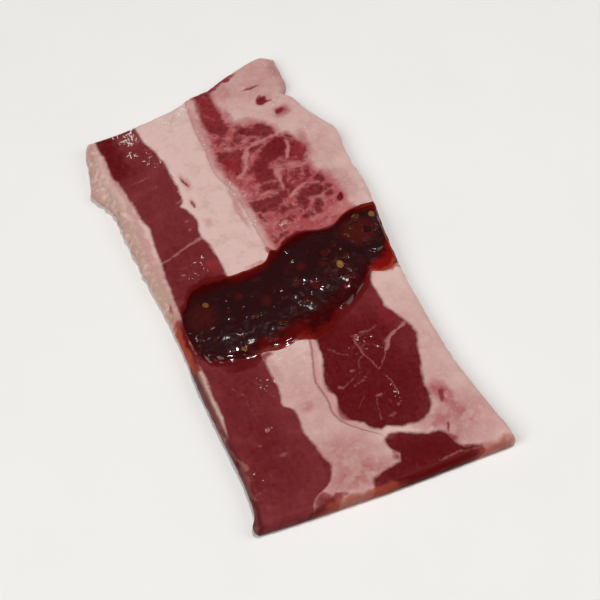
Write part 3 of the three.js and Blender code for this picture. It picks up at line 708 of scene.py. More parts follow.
def slice_mesh(sizes):
    """The slice's points, faces and fields."""
    x, y = lattice(sizes.columns, sizes.rows)
    across = np.minimum(x - rim_face(y), far_face(y) - x)
    along = np.minimum(y - near_end(x), far_end(x) - y)
    edge = np.minimum(across, along)
    knobbly = step(y - 20, 20) * bump(x - rim_face(y), RIM_WIDTH)
    height = face_height(x, y, sizes) + fibre_height(x, y) + knobbly * relief(x, y, RIM_FAT)
    height -= FACE_ROUNDING * np.exp(-edge / FACE_ROUNDING_REACH)
    top = np.stack([x, y, height], -1)

    rim = round_edge(top)
    way = round_way(rim)
    walk = np.cumsum(np.linalg.norm(way, axis=1)) / 2
    rings = wall_rings(rim, walk, sizes)
    lower = top[::2, ::2].copy()
    hollow = HOLLOW * (1 + ripple(lower[..., 0], lower[..., 1], 6, 18))
    lower[..., 2] = hollow * step(edge[::2, ::2] - HOLLOW_MARGIN, 2)
    points, faces = closed_slab(top, rings, lower)

    # The wall takes its colours from the face above it, wandering sideways on the way down.
    first = top.size // 3
    wall = np.full(len(points), 0.6)
    near_edge = 2.4 * np.exp(-(y - near_end(x)) / 2.4)
    wall[:first] = np.clip(np.maximum(1.7 * np.exp(-edge / 1.5), near_edge), 0, 1).ravel()
    stain = np.ones(len(points))
    cut = points[:, :2].copy()
    along_rim = way[:, :2] / np.linalg.norm(way[:, :2], axis=1, keepdims=True)
    runs = 0.75 + 0.6 * ripple(walk, 0, 2.2, 44)
    for number, (level, _) in enumerate(WALL_SHAPE):
        ring = slice(first + number * len(rim), first + (number + 1) * len(rim))
        wall[ring] = 1
        wander = (1 - level) * (1.4 + 1.8 * ripple(walk, level * 3, 4.5, 43))
        cut[ring] += along_rim * wander[:, None]
        stain[ring] = 1 - np.clip(runs * (1 - level), 0, 0.9) * step(rim[:, 0] - 36, 2)
    fields = slice_fields(cut[:, 0], cut[:, 1])
    fields["juice"] = fields["juice"] * stain
    fields["wall"] = wall
    return points, faces, fields


# ---- Sauce: its form -----------------------------------------------------------------------


def sauce_lattice(columns, rows):
    """x, y and the share of the way in from the edge, for the sauce's skin."""
    even = np.linspace(0, 1, columns + 1)
    crowded = 0.5 - 0.5 * np.cos(np.pi * even)
    along, over = np.meshgrid(0.4 * even + 0.6 * crowded, np.linspace(0, 1, rows + 1))
    left, right = SAUCE_FAR[0][0], SAUCE_FAR[-1][0]
    plain = left + (right - left) * along
    near = sauce_near(plain) - 0.35 * ripple(plain, 0, 2.7, 19) - 0.2
    far = sauce_far(plain) + 0.35 * ripple(plain, 0, 2.7, 20)
    y = near + (far - near) * over
    x = plain + (far_face(y) - 0.2 - right) * along**4
    side = np.minimum(np.minimum(over, 1 - over), np.minimum(along, 1 - along) / 0.12)
    return x, y, side


def mound_height(x, y):
    """Height of the sauce's mounds, joined without steps, mm."""
    spared = np.ones(np.shape(x))
    for at_x, at_y, reach_x, reach_y, height in MOUNDS:
        away = np.hypot((x - at_x) / reach_x, (y - at_y) / reach_y)
        spared *= 1 - (height / MOUND_LIMIT) * bump(away, 1)
    return MOUND_LIMIT * (1 - spared)


def chunk_relief(x, y, sizes):
    """Bits of crushed chilli under the sauce's skin: their height, mm, and their tone."""
    rng = np.random.default_rng(sizes.seed)
    height = np.zeros(np.shape(x))
    tone = np.zeros(np.shape(x))
    for _ in range(sizes.chunks):
        at = rng.uniform(*CHUNK_FIELD)
        reach = rng.uniform(0.7, 2.6) * sizes.chunk_size
        squash = rng.uniform(0.45, 1)
        turn = rng.uniform(0, math.pi)
        rise = rng.uniform(0.25, 1) * sizes.chunk_height
        shade = rng.choice([0.0, 0.3, 0.6], p=[0.7, 0.2, 0.1])
        dx, dy = x - at[0], y - at[1]
        along = (dx * math.cos(turn) + dy * math.sin(turn)) / reach
        across = (dy * math.cos(turn) - dx * math.sin(turn)) / (reach * squash)
        form = np.clip(1 - along**2 - across**2, 0, 1) ** 1.5
        tone = np.where(form * rise > 0.6 * height, shade * form, tone)
        height = (height**3 + (form * rise) ** 3) ** (1 / 3)
    return height, tone


def sauce_form(sizes):
    """Points of the sauce's skin, how thick it is there, and the tone of what lies in it."""
    x, y, side = sauce_lattice(sizes.columns, sizes.rows)
    dome = np.sqrt(np.clip(side * 3.4, 0, 1))
    mound = mound_height(x, y)
    chunks, tone = chunk_relief(x, y, sizes)
    full = step(mound - 1.2, 1.2)
    thin_edge = 0.04 + (sizes.film - 0.04) * np.clip(side * 14, 0, 1)
    thick = thin_edge + dome * (mound + relief(x, y, SAUCE_SKIN) + chunks * (0.25 + 0.75 * full))
    broken = np.clip(0.8 + 0.7 * ripple(x, y, 2.2, 45), 0, 1.4)
    for height, width, points in BEADS_OF_SAUCE:
        thick += height * broken * bump(to_path(x, y, points), width)
    return x, y, side, thick, tone * dome


def sauce_mesh(sizes, slice_sizes):
    """The sauce's points, faces and fields."""
    x, y, _, thick, tone = sauce_form(sizes)
    base = face_height(x, y, slice_sizes)
    top = np.stack([x, y, base + thick], -1)
    bottom = np.stack([x, y, base - SAUCE_FOOT], -1)
    rim, foot = round_edge(top), round_edge(bottom)
    out = outward(rim)
    rings = []
    for share, reach in SAUCE_WALL:
        height = foot[:, 2] + (rim[:, 2] - foot[:, 2]) * share
        rings.append(np.column_stack([rim[:, :2] + out * reach, height]))
    points, faces = closed_slab(top, rings, bottom[::2, ::2])
    first = top.size // 3
    depth = np.full(len(points), 0.05)
    depth[:first] = thick.ravel()
    tones = np.zeros(len(points))
    tones[:first] = tone.ravel()
    at_x, at_y = points[:, 0], points[:, 1]
    clear = 0.3 + 0.7 * step(at_x - 22, 6) * step(3 - at_y, 5)
    return points, faces, {
        "depth": depth,
        "tone": np.maximum(tones, patches(at_x, at_y, REDDER, 0.9)),
        "pale_under": clear * step(-0.4 - lean_depth(at_x, at_y), 1.5),
        "oily": patches(at_x, at_y, OILY, 0.9),
    }


# ---- Materials -----------------------------------------------------------------------------


def linear(code, alpha=1.0):
    """A linear colour from an sRGB hex value."""
    parts = [int(code[i : i + 2], 16) / 255 for i in (1, 3, 5)]
    return [p / 12.92 if p <= 0.04045 else ((p + 0.055) / 1.055) ** 2.4 for p in parts] + [alpha]


RANGE = ("Value", "From Min", "From Max", "To Min", "To Max")
GRAIN = ("Vector", "Scale", "Detail", "Roughness")
# What each node is, its settings, the inputs that values fill in order, and its output. A sum
# takes what is added and then two that are multiplied, a mix takes a share and two colours.
NODES = {
    "place": ("ShaderNodeTexCoord", {}, (), "Object"),
    "field": ("ShaderNodeAttribute", {}, (), "Fac"),
    "stretch": ("ShaderNodeMapping", {}, ("Vector", "Scale"), 0),
    "noise": ("ShaderNodeTexNoise", {}, GRAIN, 0),
    "noise directions": ("ShaderNodeTexNoise", {}, GRAIN, 1),
    "cell walls": ("ShaderNodeTexVoronoi", {"feature": "DISTANCE_TO_EDGE"}, GRAIN, 0),
    "move": ("ShaderNodeVectorMath", {"operation": "MULTIPLY_ADD"}, (2, 0, 1), 0),
    "sum": ("ShaderNodeMath", {"operation": "MULTIPLY_ADD"}, (2, 0, 1), 0),
    "capped sum": ("ShaderNodeMath", {"operation": "ADD", "use_clamp": True}, (0, 1), 0),
    "times": ("ShaderNodeMath", {"operation": "MULTIPLY"}, (0, 1), 0),
    "away": ("ShaderNodeMath", {"operation": "ABSOLUTE"}, (0,), 0),
    "ramp": ("ShaderNodeMapRange", {"interpolation_type": "SMOOTHSTEP"}, RANGE, 0),
    "range": ("ShaderNodeMapRange", {}, RANGE, 0),
    "mix": ("ShaderNodeMix", {"data_type": "RGBA"}, (0, 6, 7), 2),
    "bump": ("ShaderNodeBump", {}, ("Height", "Distance", "Strength"), 0),
    "shader": ("ShaderNodeBsdfPrincipled", {}, (), 0),
}


def add_node(tree, kind, *values, **named):
    """Adds a listed node and gives its output. Values fill its listed inputs in order. Named
    ones fill the input of that name, or else they are settings of the node."""
    node_type, settings, inputs, output = NODES[kind]
    made = tree.nodes.new(node_type)
    filled = dict(zip(inputs, values))
    for name, value in (settings | named).items():
        if name in made.inputs:
            filled[name] = value
        else:
            setattr(made, name, value)
    for socket, value in filled.items():
        if isinstance(value, bpy.types.NodeSocket):
            tree.links.new(value, made.inputs[socket])
        else:
            made.inputs[socket].default_value = value
    return made.outputs[output]


class Paint:
    """A material while it is made: its nodes, its colours, and the fields of its mesh."""

    def __init__(self, name, colours, fields=()):
        self.material = bpy.data.materials.new(name)
        self.material.use_nodes = True
        self.material.node_tree.nodes.clear()
        self.add = partial(add_node, self.material.node_tree)
        self.colours = colours
        self.field = {field: self.add("field", attribute_name=field) for field in fields}

    def shifted(self, value, noise, amount):
        """value moved up and down by a noise around its middle"""
        return self.add("sum", value, self.add("sum", -0.5, noise, 1.0), amount)

    def within(self, value, *ends, strength=1.0):
        """0 to strength as value goes from the first end to the second"""
        return self.add("times", self.add("ramp", value, *ends), strength)

    def finish(self, sockets):
        """Closes the material with a Principled shader, from a dictionary of its sockets."""
        tree = self.material.node_tree
        shader = self.add("shader", **sockets)
        out = tree.nodes.new("ShaderNodeOutputMaterial")
        tree.links.new(shader, out.inputs["Surface"])
        return self.material


def per_mm(size):
    """The scale of a pattern whose parts are about size mm across."""
    return 1 / (size * MM)


class MeatPaint(Paint):
    """The meat's material: its fields, and noises with the grain of fat lobules and fibres."""

    def __init__(self, name, colours):
        super().__init__(name, colours, MEAT_FIELDS)
        add = self.add
        self.place = add("place")
        # Sizes in mm: blotches of blood 6, fibre bundles 2.2, grain of the cut 0.8. A single
        # fibre, about 0.05 mm wide, is too fine to show, so fibres are drawn 1.3 mm wide.
        self.coarse = add("noise", self.place, per_mm(6.0), 3.0, 0.55)
        self.medium = add("noise", self.place, per_mm(2.2), 3.0, 0.55)
        self.fine = add("noise", self.place, per_mm(0.8), 2.0, 0.55)
        long_grain = add("stretch", self.place, (1.0, 0.3, 1.0))
        self.fibres = add("noise", long_grain, per_mm(1.3), 3.0, 0.55)
        bend = add("noise directions", self.place, per_mm(2.4), 3.0)
        self.bent = add("move", self.place, bend, (3.0 * MM, 3.0 * MM, 3.0 * MM))
        self.depth = self.restless(self.field["lean"], 1.6, 1.0)
        vein = self.shifted(self.field["vein"], self.fine, 0.8)
        self.vein = self.within(vein, 0.1, 1.1, strength=0.8)

    def restless(self, value, first, second):
        """value shifted by the coarse and then by the medium noise, each by an amount"""
        return self.shifted(self.shifted(value, self.coarse, first), self.medium, second)


def fat_colour(paint):
    """Fat: pale, pinker where blood or thin lean lies near the surface, in soft lobules."""
    add, colours, coarse = paint.add, paint.colours, paint.coarse
    pinkness = add("ramp", paint.restless(paint.field["pink"], 0.4, 0.25), -0.05, 0.95)
    fat = add("mix", pinkness, colours["fat"], colours["pink_fat"])
    fat = add("mix", paint.within(coarse, 0.5, 0.66, strength=0.5), fat, colours["beige_fat"])
    flecks = paint.within(paint.medium, 0.44, 0.8, strength=0.36)
    fat = add("mix", flecks, fat, colours["fat_fleck"])
    walls = add("ramp", add("cell walls", paint.bent, per_mm(4.8)), 0.14, 0.0)
    lobules = add("times", walls, add("ramp", coarse, 0.42, 0.62))
    return add("mix", add("times", lobules, 0.13), fat, colours["pink_fat"])


def lean_colour(paint):
    """Lean: dark where it is solid, pale red where it is laced with fat, in bundles of
    fibres, with veins and flecks of fat, and paler patches of painted sheen."""
    add, field, colours = paint.add, paint.field, paint.colours
    laced = add("times", field["laced"], add("ramp", field["rich"], 0.95, 0.3))
    bundles = add("cell walls", paint.bent, per_mm(2.7))
    between = add("ramp", bundles, 0.26, 0.0)
    between = add("times", between, add("ramp", paint.medium, 0.38, 0.66))
    lacing = add("times", between, add("sum", 0.03, laced, 0.5))
    richness = paint.shifted(field["rich"], paint.medium, 0.35)
    richness = paint.shifted(richness, paint.fibres, 0.25)
    thinned = add("times", laced, add("sum", -0.2, bundles, 1.0))
    richness = add("sum", richness, thinned, 0.9)
    lean = add("mix", add("ramp", richness, 0.0, 0.7), colours["laced_lean"], colours["lean"])
    lean = add("mix", add("ramp", richness, 0.6, 1.0), lean, colours["dark_lean"])
    lean = add("mix", add("times", field["bright"], 0.7), lean, colours["bright_lean"])
    lean = add("mix", lacing, lean, colours["vein"])
    # paler patches of solid lean: painted sheen of the wet surface
    painted_sheen = add("ramp", paint.coarse, 0.46, 0.7)
    painted_sheen = add("times", painted_sheen, add("ramp", richness, 1.0, 0.6))
    lean = add("mix", add("times", painted_sheen, 0.16), lean, colours["laced_lean"])
    pale_fibres = paint.within(paint.fibres, 0.6, 0.78, strength=0.16)
    lean = add("mix", pale_fibres, lean, colours["laced_lean"])
    lean = add("mix", paint.vein, lean, colours["vein"])
    # pale patches: flecks of fat, some of them painted glints
    pale = paint.shifted(field["pale"], paint.medium, 0.6)
    return add("mix", paint.within(pale, 0.1, 1.05, strength=0.85), lean, colours["vein"])


def lean_and_fat(paint):
    """The edge between lean and fat is ragged at the width of a fibre bundle, soft where the
    lean is laced."""
    add, depth = paint.add, paint.depth
    ragged = add("ramp", depth, -0.8, 0.7)
    feathered = add("ramp", paint.shifted(depth, paint.medium, 1.5), -2.6, 0.9)
    softer = add("times", paint.field["laced"], add("sum", feathered, ragged, -1.0))
    share = add("sum", ragged, softer, 1.0)
    return add("mix", share, fat_colour(paint), lean_colour(paint))


def with_seam(paint, meat):
    """Membrane along the seam: a grey-pink band in the far part, a dark double line near, painted
    shade of the groove along the seam.
    """
    add, field, colours = paint.add, paint.field, paint.colours
    seam = paint.shifted(field["seam"], paint.medium, 0.8)
    band = add("times", add("ramp", seam, -1.2, 0.6), add("ramp", seam, 3.2, 1.0))
    band = add("times", add("times", band, 0.5), field["seam_shown"])
    meat = add("mix", band, meat, colours["membrane"])
    # dark line along the seam: painted shade of its groove
    strength = add("sum", 0.26, field["near_part"], 0.36)
    line = add("times", add("ramp", add("away", seam), 0.7, 0.0), strength)
    return add("mix", add("times", line, field["seam_shown"]), meat, colours["seam_line"])


def with_rim(paint, meat, in_fat):
    """Cut wall and rim: drier fat, tan where air has reached it, stained in the near part and
    darkened there with painted shadow.
    """
    add, field, medium, colours = paint.add, paint.field, paint.medium, paint.colours
    off_rim = paint.shifted(paint.shifted(field["from_rim"], medium, 2.4), paint.coarse, 2.0)
    rim = add("times", add("ramp", off_rim, 3.9, 1.5), in_fat)
    rim = add("times", rim, add("sum", 0.4, field["wall"], 0.4))
    dried = add("ramp", paint.shifted(medium, paint.coarse, -0.6), 0.2, 0.6)
    meat = add("mix", add("times", rim, dried), meat, colours["rim"])
    # near part of the rim: juice stain and painted shadow together
    near_part = add("ramp", paint.restless(field["near_part"], 1.5, 0.7), 0.15, 0.85)
    stained = add("ramp", paint.shifted(field["from_rim"], medium, 1), 1.6, 0.2)
    stained = add("times", stained, near_part)
    meat = add("mix", add("times", stained, 0.92), meat, colours["stained_rim"])
    strand = add("times", add("ramp", field["from_rim"], 3.6, 2.6), field["near_part"])
    streak = add("times", add("times", strand, paint.vein), 0.9)
    return add("mix", streak, meat, colours["rim_streak"])


def with_stains_and_slit_shade(paint, meat, in_fat):
    """Meat juice soaks in red and then dark, chilli oil stays orange, slits are dark red and darker
    with depth, as painted shade of the cut.
    """
    add, field, medium, colours = paint.add, paint.field, paint.medium, paint.colours
    juice = add("ramp", paint.shifted(field["juice"], medium, 0.4), 0.1, 0.85)
    red = paint.within(juice, 0.0, 0.45, strength=0.85)
    meat = add("mix", add("times", red, in_fat), meat, colours["slit"])
    meat = add("mix", paint.within(juice, 0.4, 1.0, strength=0.88), meat, colours["juice"])
    oil = paint.shifted(paint.shifted(field["chilli_oil"], medium, 0.5), paint.coarse, 0.5)
    meat = add("mix", paint.within(oil, 0.12, 0.95, strength=0.85), meat, colours["chilli_oil"])
    # inside the slits: red of the cut, darker with depth as painted shade
    return add("mix", paint.within(field["slit"], 0.05, 0.8, strength=0.85), meat, colours["slit"])


def raw_meat(colours):
    """Raw brisket, sliced with a blade: soft light spreads under the surface, fat is nearly
    white with a pink cast, lean is dark red with fine fibres, and all of it is wet."""
    paint = MeatPaint("raw_veal_brisket_wet", colours)
    add, field, place = paint.add, paint.field, paint.place
    in_fat = add("ramp", field["lean"], 0.4, -0.6)
    meat = with_seam(paint, lean_and_fat(paint))
    meat = with_stains_and_slit_shade(paint, with_rim(paint, meat, in_fat), in_fat)

    # Relief of the meat itself, and of the film of moisture that stands on it.
    grit = add("sum", add("times", paint.medium, 0.3), paint.fine, 0.2)
    grit = add("sum", grit, add("times", paint.fibres, add("ramp", paint.depth, -0.3, 0.6)), 0.3)
    film = add("times", add("noise", place, per_mm(3.2), 2.0, 0.5), 0.3)
    film = add("sum", film, add("noise", place, per_mm(1.3), 1.0, 0.4), 0.06)
    drops = add("noise", place, per_mm(1.0), 1.0, 0.55)
    film = add("sum", film, add("times", field["beads"], drops), 1.1)
    open_face = add("sum", 0.7, field["wall"], -0.75)
    return paint.finish({
        "Base Color": meat,
        "Roughness": add("range", paint.medium, 0.0, 1.0, 0.38, 0.55),
        "IOR": 1.4,
        "Specular IOR Level": 0.08,
        "Subsurface Weight": 0.3,
        "Subsurface Radius": (1.0, 0.35, 0.25),
        "Subsurface Scale": 1.0 * MM,
        "Coat Weight": add("times", open_face, add("ramp", field["slit"], 0.3, 0.0)),
        "Coat Roughness": 0.08,
        "Coat IOR": 1.42,
        "Coat Normal": add("bump", film, 0.5 * MM, 0.8),
        "Normal": add("bump", grit, 0.3 * MM, 0.4),
    })


def chilli_sauce(colours):
    """Cooked chilli paste in oil and soy: thick glossy liquid, nearly black where deep, bright
    red where thin, orange at its very edge, full of crushed skin. Oil stands on it in places
    and glints, and the paste between is duller."""
    paint = Paint("chilli_sauce_thick_glossy", colours, SAUCE_FIELDS)
    add, field = paint.add, paint.field
    place = add("place")
    # Crushed skin is 1.8 mm wide and grit 0.6 mm. Finer paste is too fine to show.
    medium = add("noise", place, per_mm(1.8), 2.0)
    fine = add("noise", place, per_mm(0.6), 2.0)
    depth = paint.shifted(field["depth"], medium, 0.5)
    over_lean = add("mix", add("ramp", depth, 0.2, 0.45), colours["edge"], colours["thin"])
    over_fat = add("mix", add("ramp", depth, 0.15, 0.4), colours["orange_edge"], colours["bright"])
    over_fat = add("mix", add("ramp", depth, 0.5, 1.2), over_fat, colours["thin"])
    body = add("mix", field["pale_under"], over_lean, over_fat)
    body = add("mix", add("ramp", depth, 0.6, 1.5), body, colours["deep"])
    tone = paint.shifted(field["tone"], medium, 0.5)
    oily = paint.shifted(field["oily"], medium, 0.6)
    return paint.finish({
        "Base Color": add("mix", paint.within(tone, 0.0, 0.8, strength=0.7), body, colours["skin"]),
        "Roughness": 0.3,
        "IOR": 1.38,
        "Specular IOR Level": 0.06,
        "Coat Weight": add("ramp", oily, 0.1, 0.7, 0.12, 0.9),
        "Coat Roughness": 0.07,
        "Coat IOR": 1.4,
        "Normal": add("bump", add("sum", medium, fine, 0.14), 0.5 * MM, 0.35),
    })


def seed_shell(colours):
    """Chilli seed, dried and stained by the sauce: a smooth pale ochre shell under oil."""
    paint = Paint("chilli_seed_oiled", colours, ["tone"])
    add = paint.add
    place = add("place")
    grain = add("noise", place, per_mm(0.5))
    blotch = add("noise", place, per_mm(1.6))
    stain = add("capped sum", paint.field["tone"], add("sum", -0.8, blotch, 1.6))
    return paint.finish({
        "Base Color": add("mix", stain, colours["seed"], colours["stained_seed"]),
        "Roughness": 0.15,
        "IOR": 1.47,
        "Subsurface Weight": 0.2,
        "Subsurface Radius": (1.0, 0.6, 0.3),
        "Subsurface Scale": 0.5 * MM,
        "Normal": add("bump", grain, 0.15 * MM, 0.3),
    })


def chilli_skin(colours):
    """Flakes of dried chilli skin, soaked: thin, leathery and shiny, dark red to brown."""
    paint = Paint("chilli_skin_soaked", colours, ["tone"])
    add, field = paint.add, paint.field
    grain = add("noise", add("place"), per_mm(0.8))
    return paint.finish({
        "Base Color": add("mix", field["tone"], colours["flake"], colours["bright_flake"]),
        "Roughness": 0.15,
        "IOR": 1.45,
        "Normal": add("bump", grain, 0.25 * MM, 0.5),
    })


def glint_shred_finish(colours):
    """Shreds of fat and membrane torn by the blade, soaked: nearly white, a painted highlight for
    wet glints, and very glossy.
    """
    paint = Paint("fat_shred_wet", colours, ["tone"])
    add, field = paint.add, paint.field
    return paint.finish({
        "Base Color": add("mix", field["tone"], colours["fat_fleck"], colours["shred"]),
        "Roughness": 0.3,
        "IOR": 1.42,
        "Subsurface Weight": 0.2,
        "Subsurface Radius": (1.0, 0.6, 0.5),
        "Subsurface Scale": 0.3 * MM,
        "Coat Weight": 1.0,
        "Coat Roughness": 0.08,
    })


def studio_floor(colours):
    """Matt painted board: even, pale and without gloss."""
    paint = Paint("studio_board_matt", colours)
    add = paint.add
    grain = add("noise", add("place"), per_mm(40))
    board = add("mix", grain, colours["floor"], colours["floor_shade"])
    return paint.finish({"Base Color": board, "Roughness": 0.9, "Specular IOR Level": 0.1})


# ---- Settings ------------------------------------------------------------------------------


def length(name, default, description):
    return bpy.props.FloatProperty(name=name, description=description, default=default, min=0)


def count(name, default, description):
    return bpy.props.IntProperty(name=name, description=description, default=default, min=2)


def colour(name, code, description):
    return bpy.props.FloatVectorProperty(
        name=name, description=description, subtype="COLOR", size=4, min=0, max=1,
        default=linear(code),
    )


def power(name, default, description):
    return bpy.props.FloatProperty(
        name=name, description=description, default=default, min=0, unit="POWER"
    )


class SliceSettings(bpy.types.PropertyGroup):
    """Sizes in millimetres and colours of the slice."""

    thickness: length("Thickness", 4.7, "Thickness over the lean, mm")
    fat_lift: length("Fat lift", 0.35, "How far firm fat stands above the lean, mm")
    wall_bulge: length("Wall bulge", 0.7, "How far the cut wall stands out, mm")
    rim_bulge: length("Rim bulge", 1.6, "How far the outer rim stands out, mm")
    columns: count("Columns", 180, "Columns of the mesh, an even number")
    rows: count("Rows", 376, "Rows of the mesh, an even number")
    fat: colour("Fat", "#dcbab3", "Clean fat")
    fat_fleck: colour("Fat fleck", "#e3c8c0", "Pale lobules in the fat")
    # near-white colour of the shreds: a painted highlight for wet glints
    shred: colour("Shred", "#f0dedb", "Torn wet shreds")
    shred_size: length("Shred size", 1.0, "Size of the torn shreds against the listed ones")
    beige_fat: colour("Beige fat", "#cfada2", "Fat with a warmer cast")
    pink_fat: colour("Pink fat", "#a9605f", "Fat with blood or thin lean under it")
    laced_lean: colour("Laced lean", "#ab5254", "Lean with fine fat through it")
    lean: colour("Lean", "#782a2e", "Lean")
    dark_lean: colour("Dark lean", "#5f080e", "Lean where it is solid")
    bright_lean: colour("Bright lean", "#93262d", "Lean that air has reddened")
    # also the colour of pale flecks, some of them painted glints
    vein: colour("Vein", "#c3817e", "Veins and flecks of fat in the lean")
    membrane: colour("Membrane", "#c58a86", "Membrane along the seam")
    # dark line of the seam: painted shade of its groove
    seam_line: colour("Seam line", "#7a4c4c", "Dark line of the seam")
    rim: colour("Rim", "#b08c7b", "Outer rim")
    # dark near part of the rim: a juice stain and painted shadow
    stained_rim: colour("Stained rim", "#561d1d", "Outer rim where juice has soaked in")
    rim_streak: colour("Rim streak", "#7e4a43", "Pale streaks in the stained rim")
    juice: colour("Juice", "#5c0809", "Meat juice and thin sauce")
    chilli_oil: colour("Chilli oil", "#a34a37", "Orange stain of chilli oil")
    # inside the slits: red, and painted shade where deep
    slit: colour("Slit", "#821822", "Inside the slits")

class SauceSettings(bpy.types.PropertyGroup):
    """Sizes in millimetres and colours of the sauce."""

    film: length("Film", 0.22, "Thickness at the edge, mm")
    chunks: count("Chunks", 300, "How many bits lie under the skin")
    chunk_size: length("Chunk size", 1.4, "Size of the bits against the real ones")
    chunk_height: length("Chunk height", 0.5, "Height of the tallest bits, mm")
    columns: count("Columns", 240, "Columns of the mesh, an even number")
    rows: count("Rows", 120, "Rows of the mesh, an even number")
    seed: count("Seed", 5, "Draws another spread of bits")
    deep: colour("Deep", "#2b0f11", "Sauce where it is deep")
    thin: colour("Thin", "#390304", "Sauce where it is thin")
    edge: colour("Edge", "#5c0a08", "Sauce at its edge")
    bright: colour("Bright", "#7a0e0b", "Thin sauce over fat")
    orange_edge: colour("Orange edge", "#96341c", "The edge of the sauce over fat")
    skin: colour("Skin", "#521713", "Crushed skin under the surface")

class BitSettings(bpy.types.PropertyGroup):
    """Sizes in millimetres and colours of the seeds and flakes."""

    seed_length: length("Seed length", 2.8, "Length of a seed, mm")
    seeds: count("Seeds", 11, "How many seeds show")
    flake_length: length("Flake length", 3.6, "Length of a flake, mm")
    flakes: count("Flakes", 34, "How many flakes show")
    seed: colour("Seed", "#8e5e2f", "Clean seed")
    stained_seed: colour("Stained seed", "#3c130b", "Seed under sauce")
    flake: colour("Flake", "#2a0c0d", "Flake of chilli skin")
    bright_flake: colour("Bright flake", "#4e100d", "Flake that light comes through")

class StudioSettings(bpy.types.PropertyGroup):
    """The studio's light, floor and camera."""

    floor: colour("Floor", "#f4f2ef", "Floor")
    floor_shade: colour("Floor shade", "#f0eeeb", "Slow change in the floor's paint")
    main: power("Main light", 15.5, "Power of the large soft box")
    side: power("Side light", 6.5, "Power of the light at the right")
    key: power("Key light", 11.5, "Power of the small light above")
    room: bpy.props.FloatProperty(
        name="Room light", description="Strength of the even light", default=0.05, min=0
    )
    lens: bpy.props.FloatProperty(
        name="Lens", description="Focal length", default=93.18, min=1, unit="CAMERA"
    )


def colours_of(settings):
    """The colours held by a group of settings, by name."""
    return {
        name: list(getattr(settings, name))
        for name, made in settings.bl_rna.properties.items()
        if made.type == "FLOAT" and getattr(made, "array_length", 0) == 4
    }


# ---- Small pieces --------------------------------------------------------------------------


def tube(loops, around, start=0):
    """Faces that join loops of corners, each with around corners, one after another."""
    faces = []
    for i in range(loops - 1):
        for j in range(around):
            a = start + i * around + j
            b = start + i * around + (j + 1) % around
            faces.append((a, a + around, b + around, b))
    return faces


def shred_form(rng):
    """Points and faces of one shred, 1 long: a thin flat curl of uneven width."""
    steps, around = 10, 6
    bend, kink = rng.uniform(-1.3, 1.3), rng.uniform(-14, 14)
    widths = rng.uniform(0.06, 0.15) * rng.uniform(0.4, 1.4, steps + 1)
    points = []
    x, y = 0.0, 0.0
    for i in range(steps + 1):
        t = i / steps
        turn = bend * (t - 0.5) + kink * (t - 0.5) ** 3
        x += math.cos(turn) / steps
        y += math.sin(turn) / steps
        radius = widths[i] * math.sin(math.pi * (0.05 + 0.9 * t)) ** 0.6
        for j in range(around):
            about = 2 * math.pi * j / around
            side = radius * math.cos(about)
            lift = 0.03 * math.sin(7 * t + kink) + 0.5 * radius * math.sin(about)
            points.append((x - 0.5 - side * math.sin(turn), y + side * math.cos(turn), lift))
    ends = [list(range(around)), [steps * around + j for j in range(around)][::-1]]
    return np.array(points), tube(steps + 1, around) + ends


def seed_form():
    """Points and faces of one seed, 1 long: a flat drop with a raised rim and a dimple."""
    around, over = 18, 9
    points = []
    for i in range(over + 1):
        tall = math.pi * i / over
        side = math.copysign(1, math.cos(tall))
        for j in range(around):
            turn = 2 * math.pi * j / around
            radius = math.sin(tall) * (0.5 + 0.07 * math.cos(turn))
            dimple = 0.05 * math.exp(-((radius / 0.2) ** 2))
            lift = 0.17 * math.cos(tall) + side * (0.06 * math.sin(tall) ** 2 - dimple)
            points.append((radius * math.cos(turn), 0.8 * radius * math.sin(turn), lift))
    return np.array(points), tube(over + 1, around)


def flake_form(rng):
    """Points and faces of one flake, 1 long: a thin torn plate, bent and curled."""
    around, rings = 14, 4
    ragged = 1 + 0.22 * rng.uniform(-1, 1, around)
    bend = rng.uniform(-0.5, 0.5, 3)
    squash = rng.uniform(0.45, 0.85)
    loop = (rings + 1) * around
    points, faces = [], []
    for side in (1, -1):
        for i in range(rings + 1):
            share = (i + 0.02) / rings
            for j in range(around):
                turn = 2 * math.pi * j / around
                x = 0.5 * share * ragged[j] * math.cos(turn)
                y = 0.5 * share * ragged[j] * squash * math.sin(turn)
                curl = bend[0] * x * x + bend[1] * y * y + bend[2] * x * y
                thick = 0.045 * math.sqrt(max(0.0, 1 - min(1.0, share) ** 4))
                points.append((x, y, curl + side * thick))
        start = 0 if side == 1 else loop
        half = [*tube(rings + 1, around, start), tuple(range(start, start + around))]
        faces += half if side == 1 else [face[::-1] for face in half]
    last = rings * around
    for j in range(around):
        k = (j + 1) % around
        faces.append((last + j, loop + last + j, loop + last + k, last + k))
    return np.array(points), faces


def scatter(forms, spots, rng, lean_over):
    """Joins copies of forms at spots: (position, size, tone). Each is turned and tilted."""
    points, faces, tones = [], [], []
    start = 0
    for number, (place, size, tone) in enumerate(spots):
        form, form_faces = forms[number % len(forms)]
        turn = rng.uniform(0, 2 * math.pi)
        tilt = rng.normal(0, lean_over, 2)
        c, s = math.cos(turn), math.sin(turn)
        x = size * (form[:, 0] * c - form[:, 1] * s)
        y = size * (form[:, 0] * s + form[:, 1] * c)
        z = size * form[:, 2] + tilt[0] * x + tilt[1] * y
        points.append(np.column_stack([x, y, z]) + place)
        faces += [[corner + start for corner in face] for face in form_faces]
        tones += [tone] * len(form)
        start += len(form)
    return np.concatenate(points), faces, {"tone": tones}


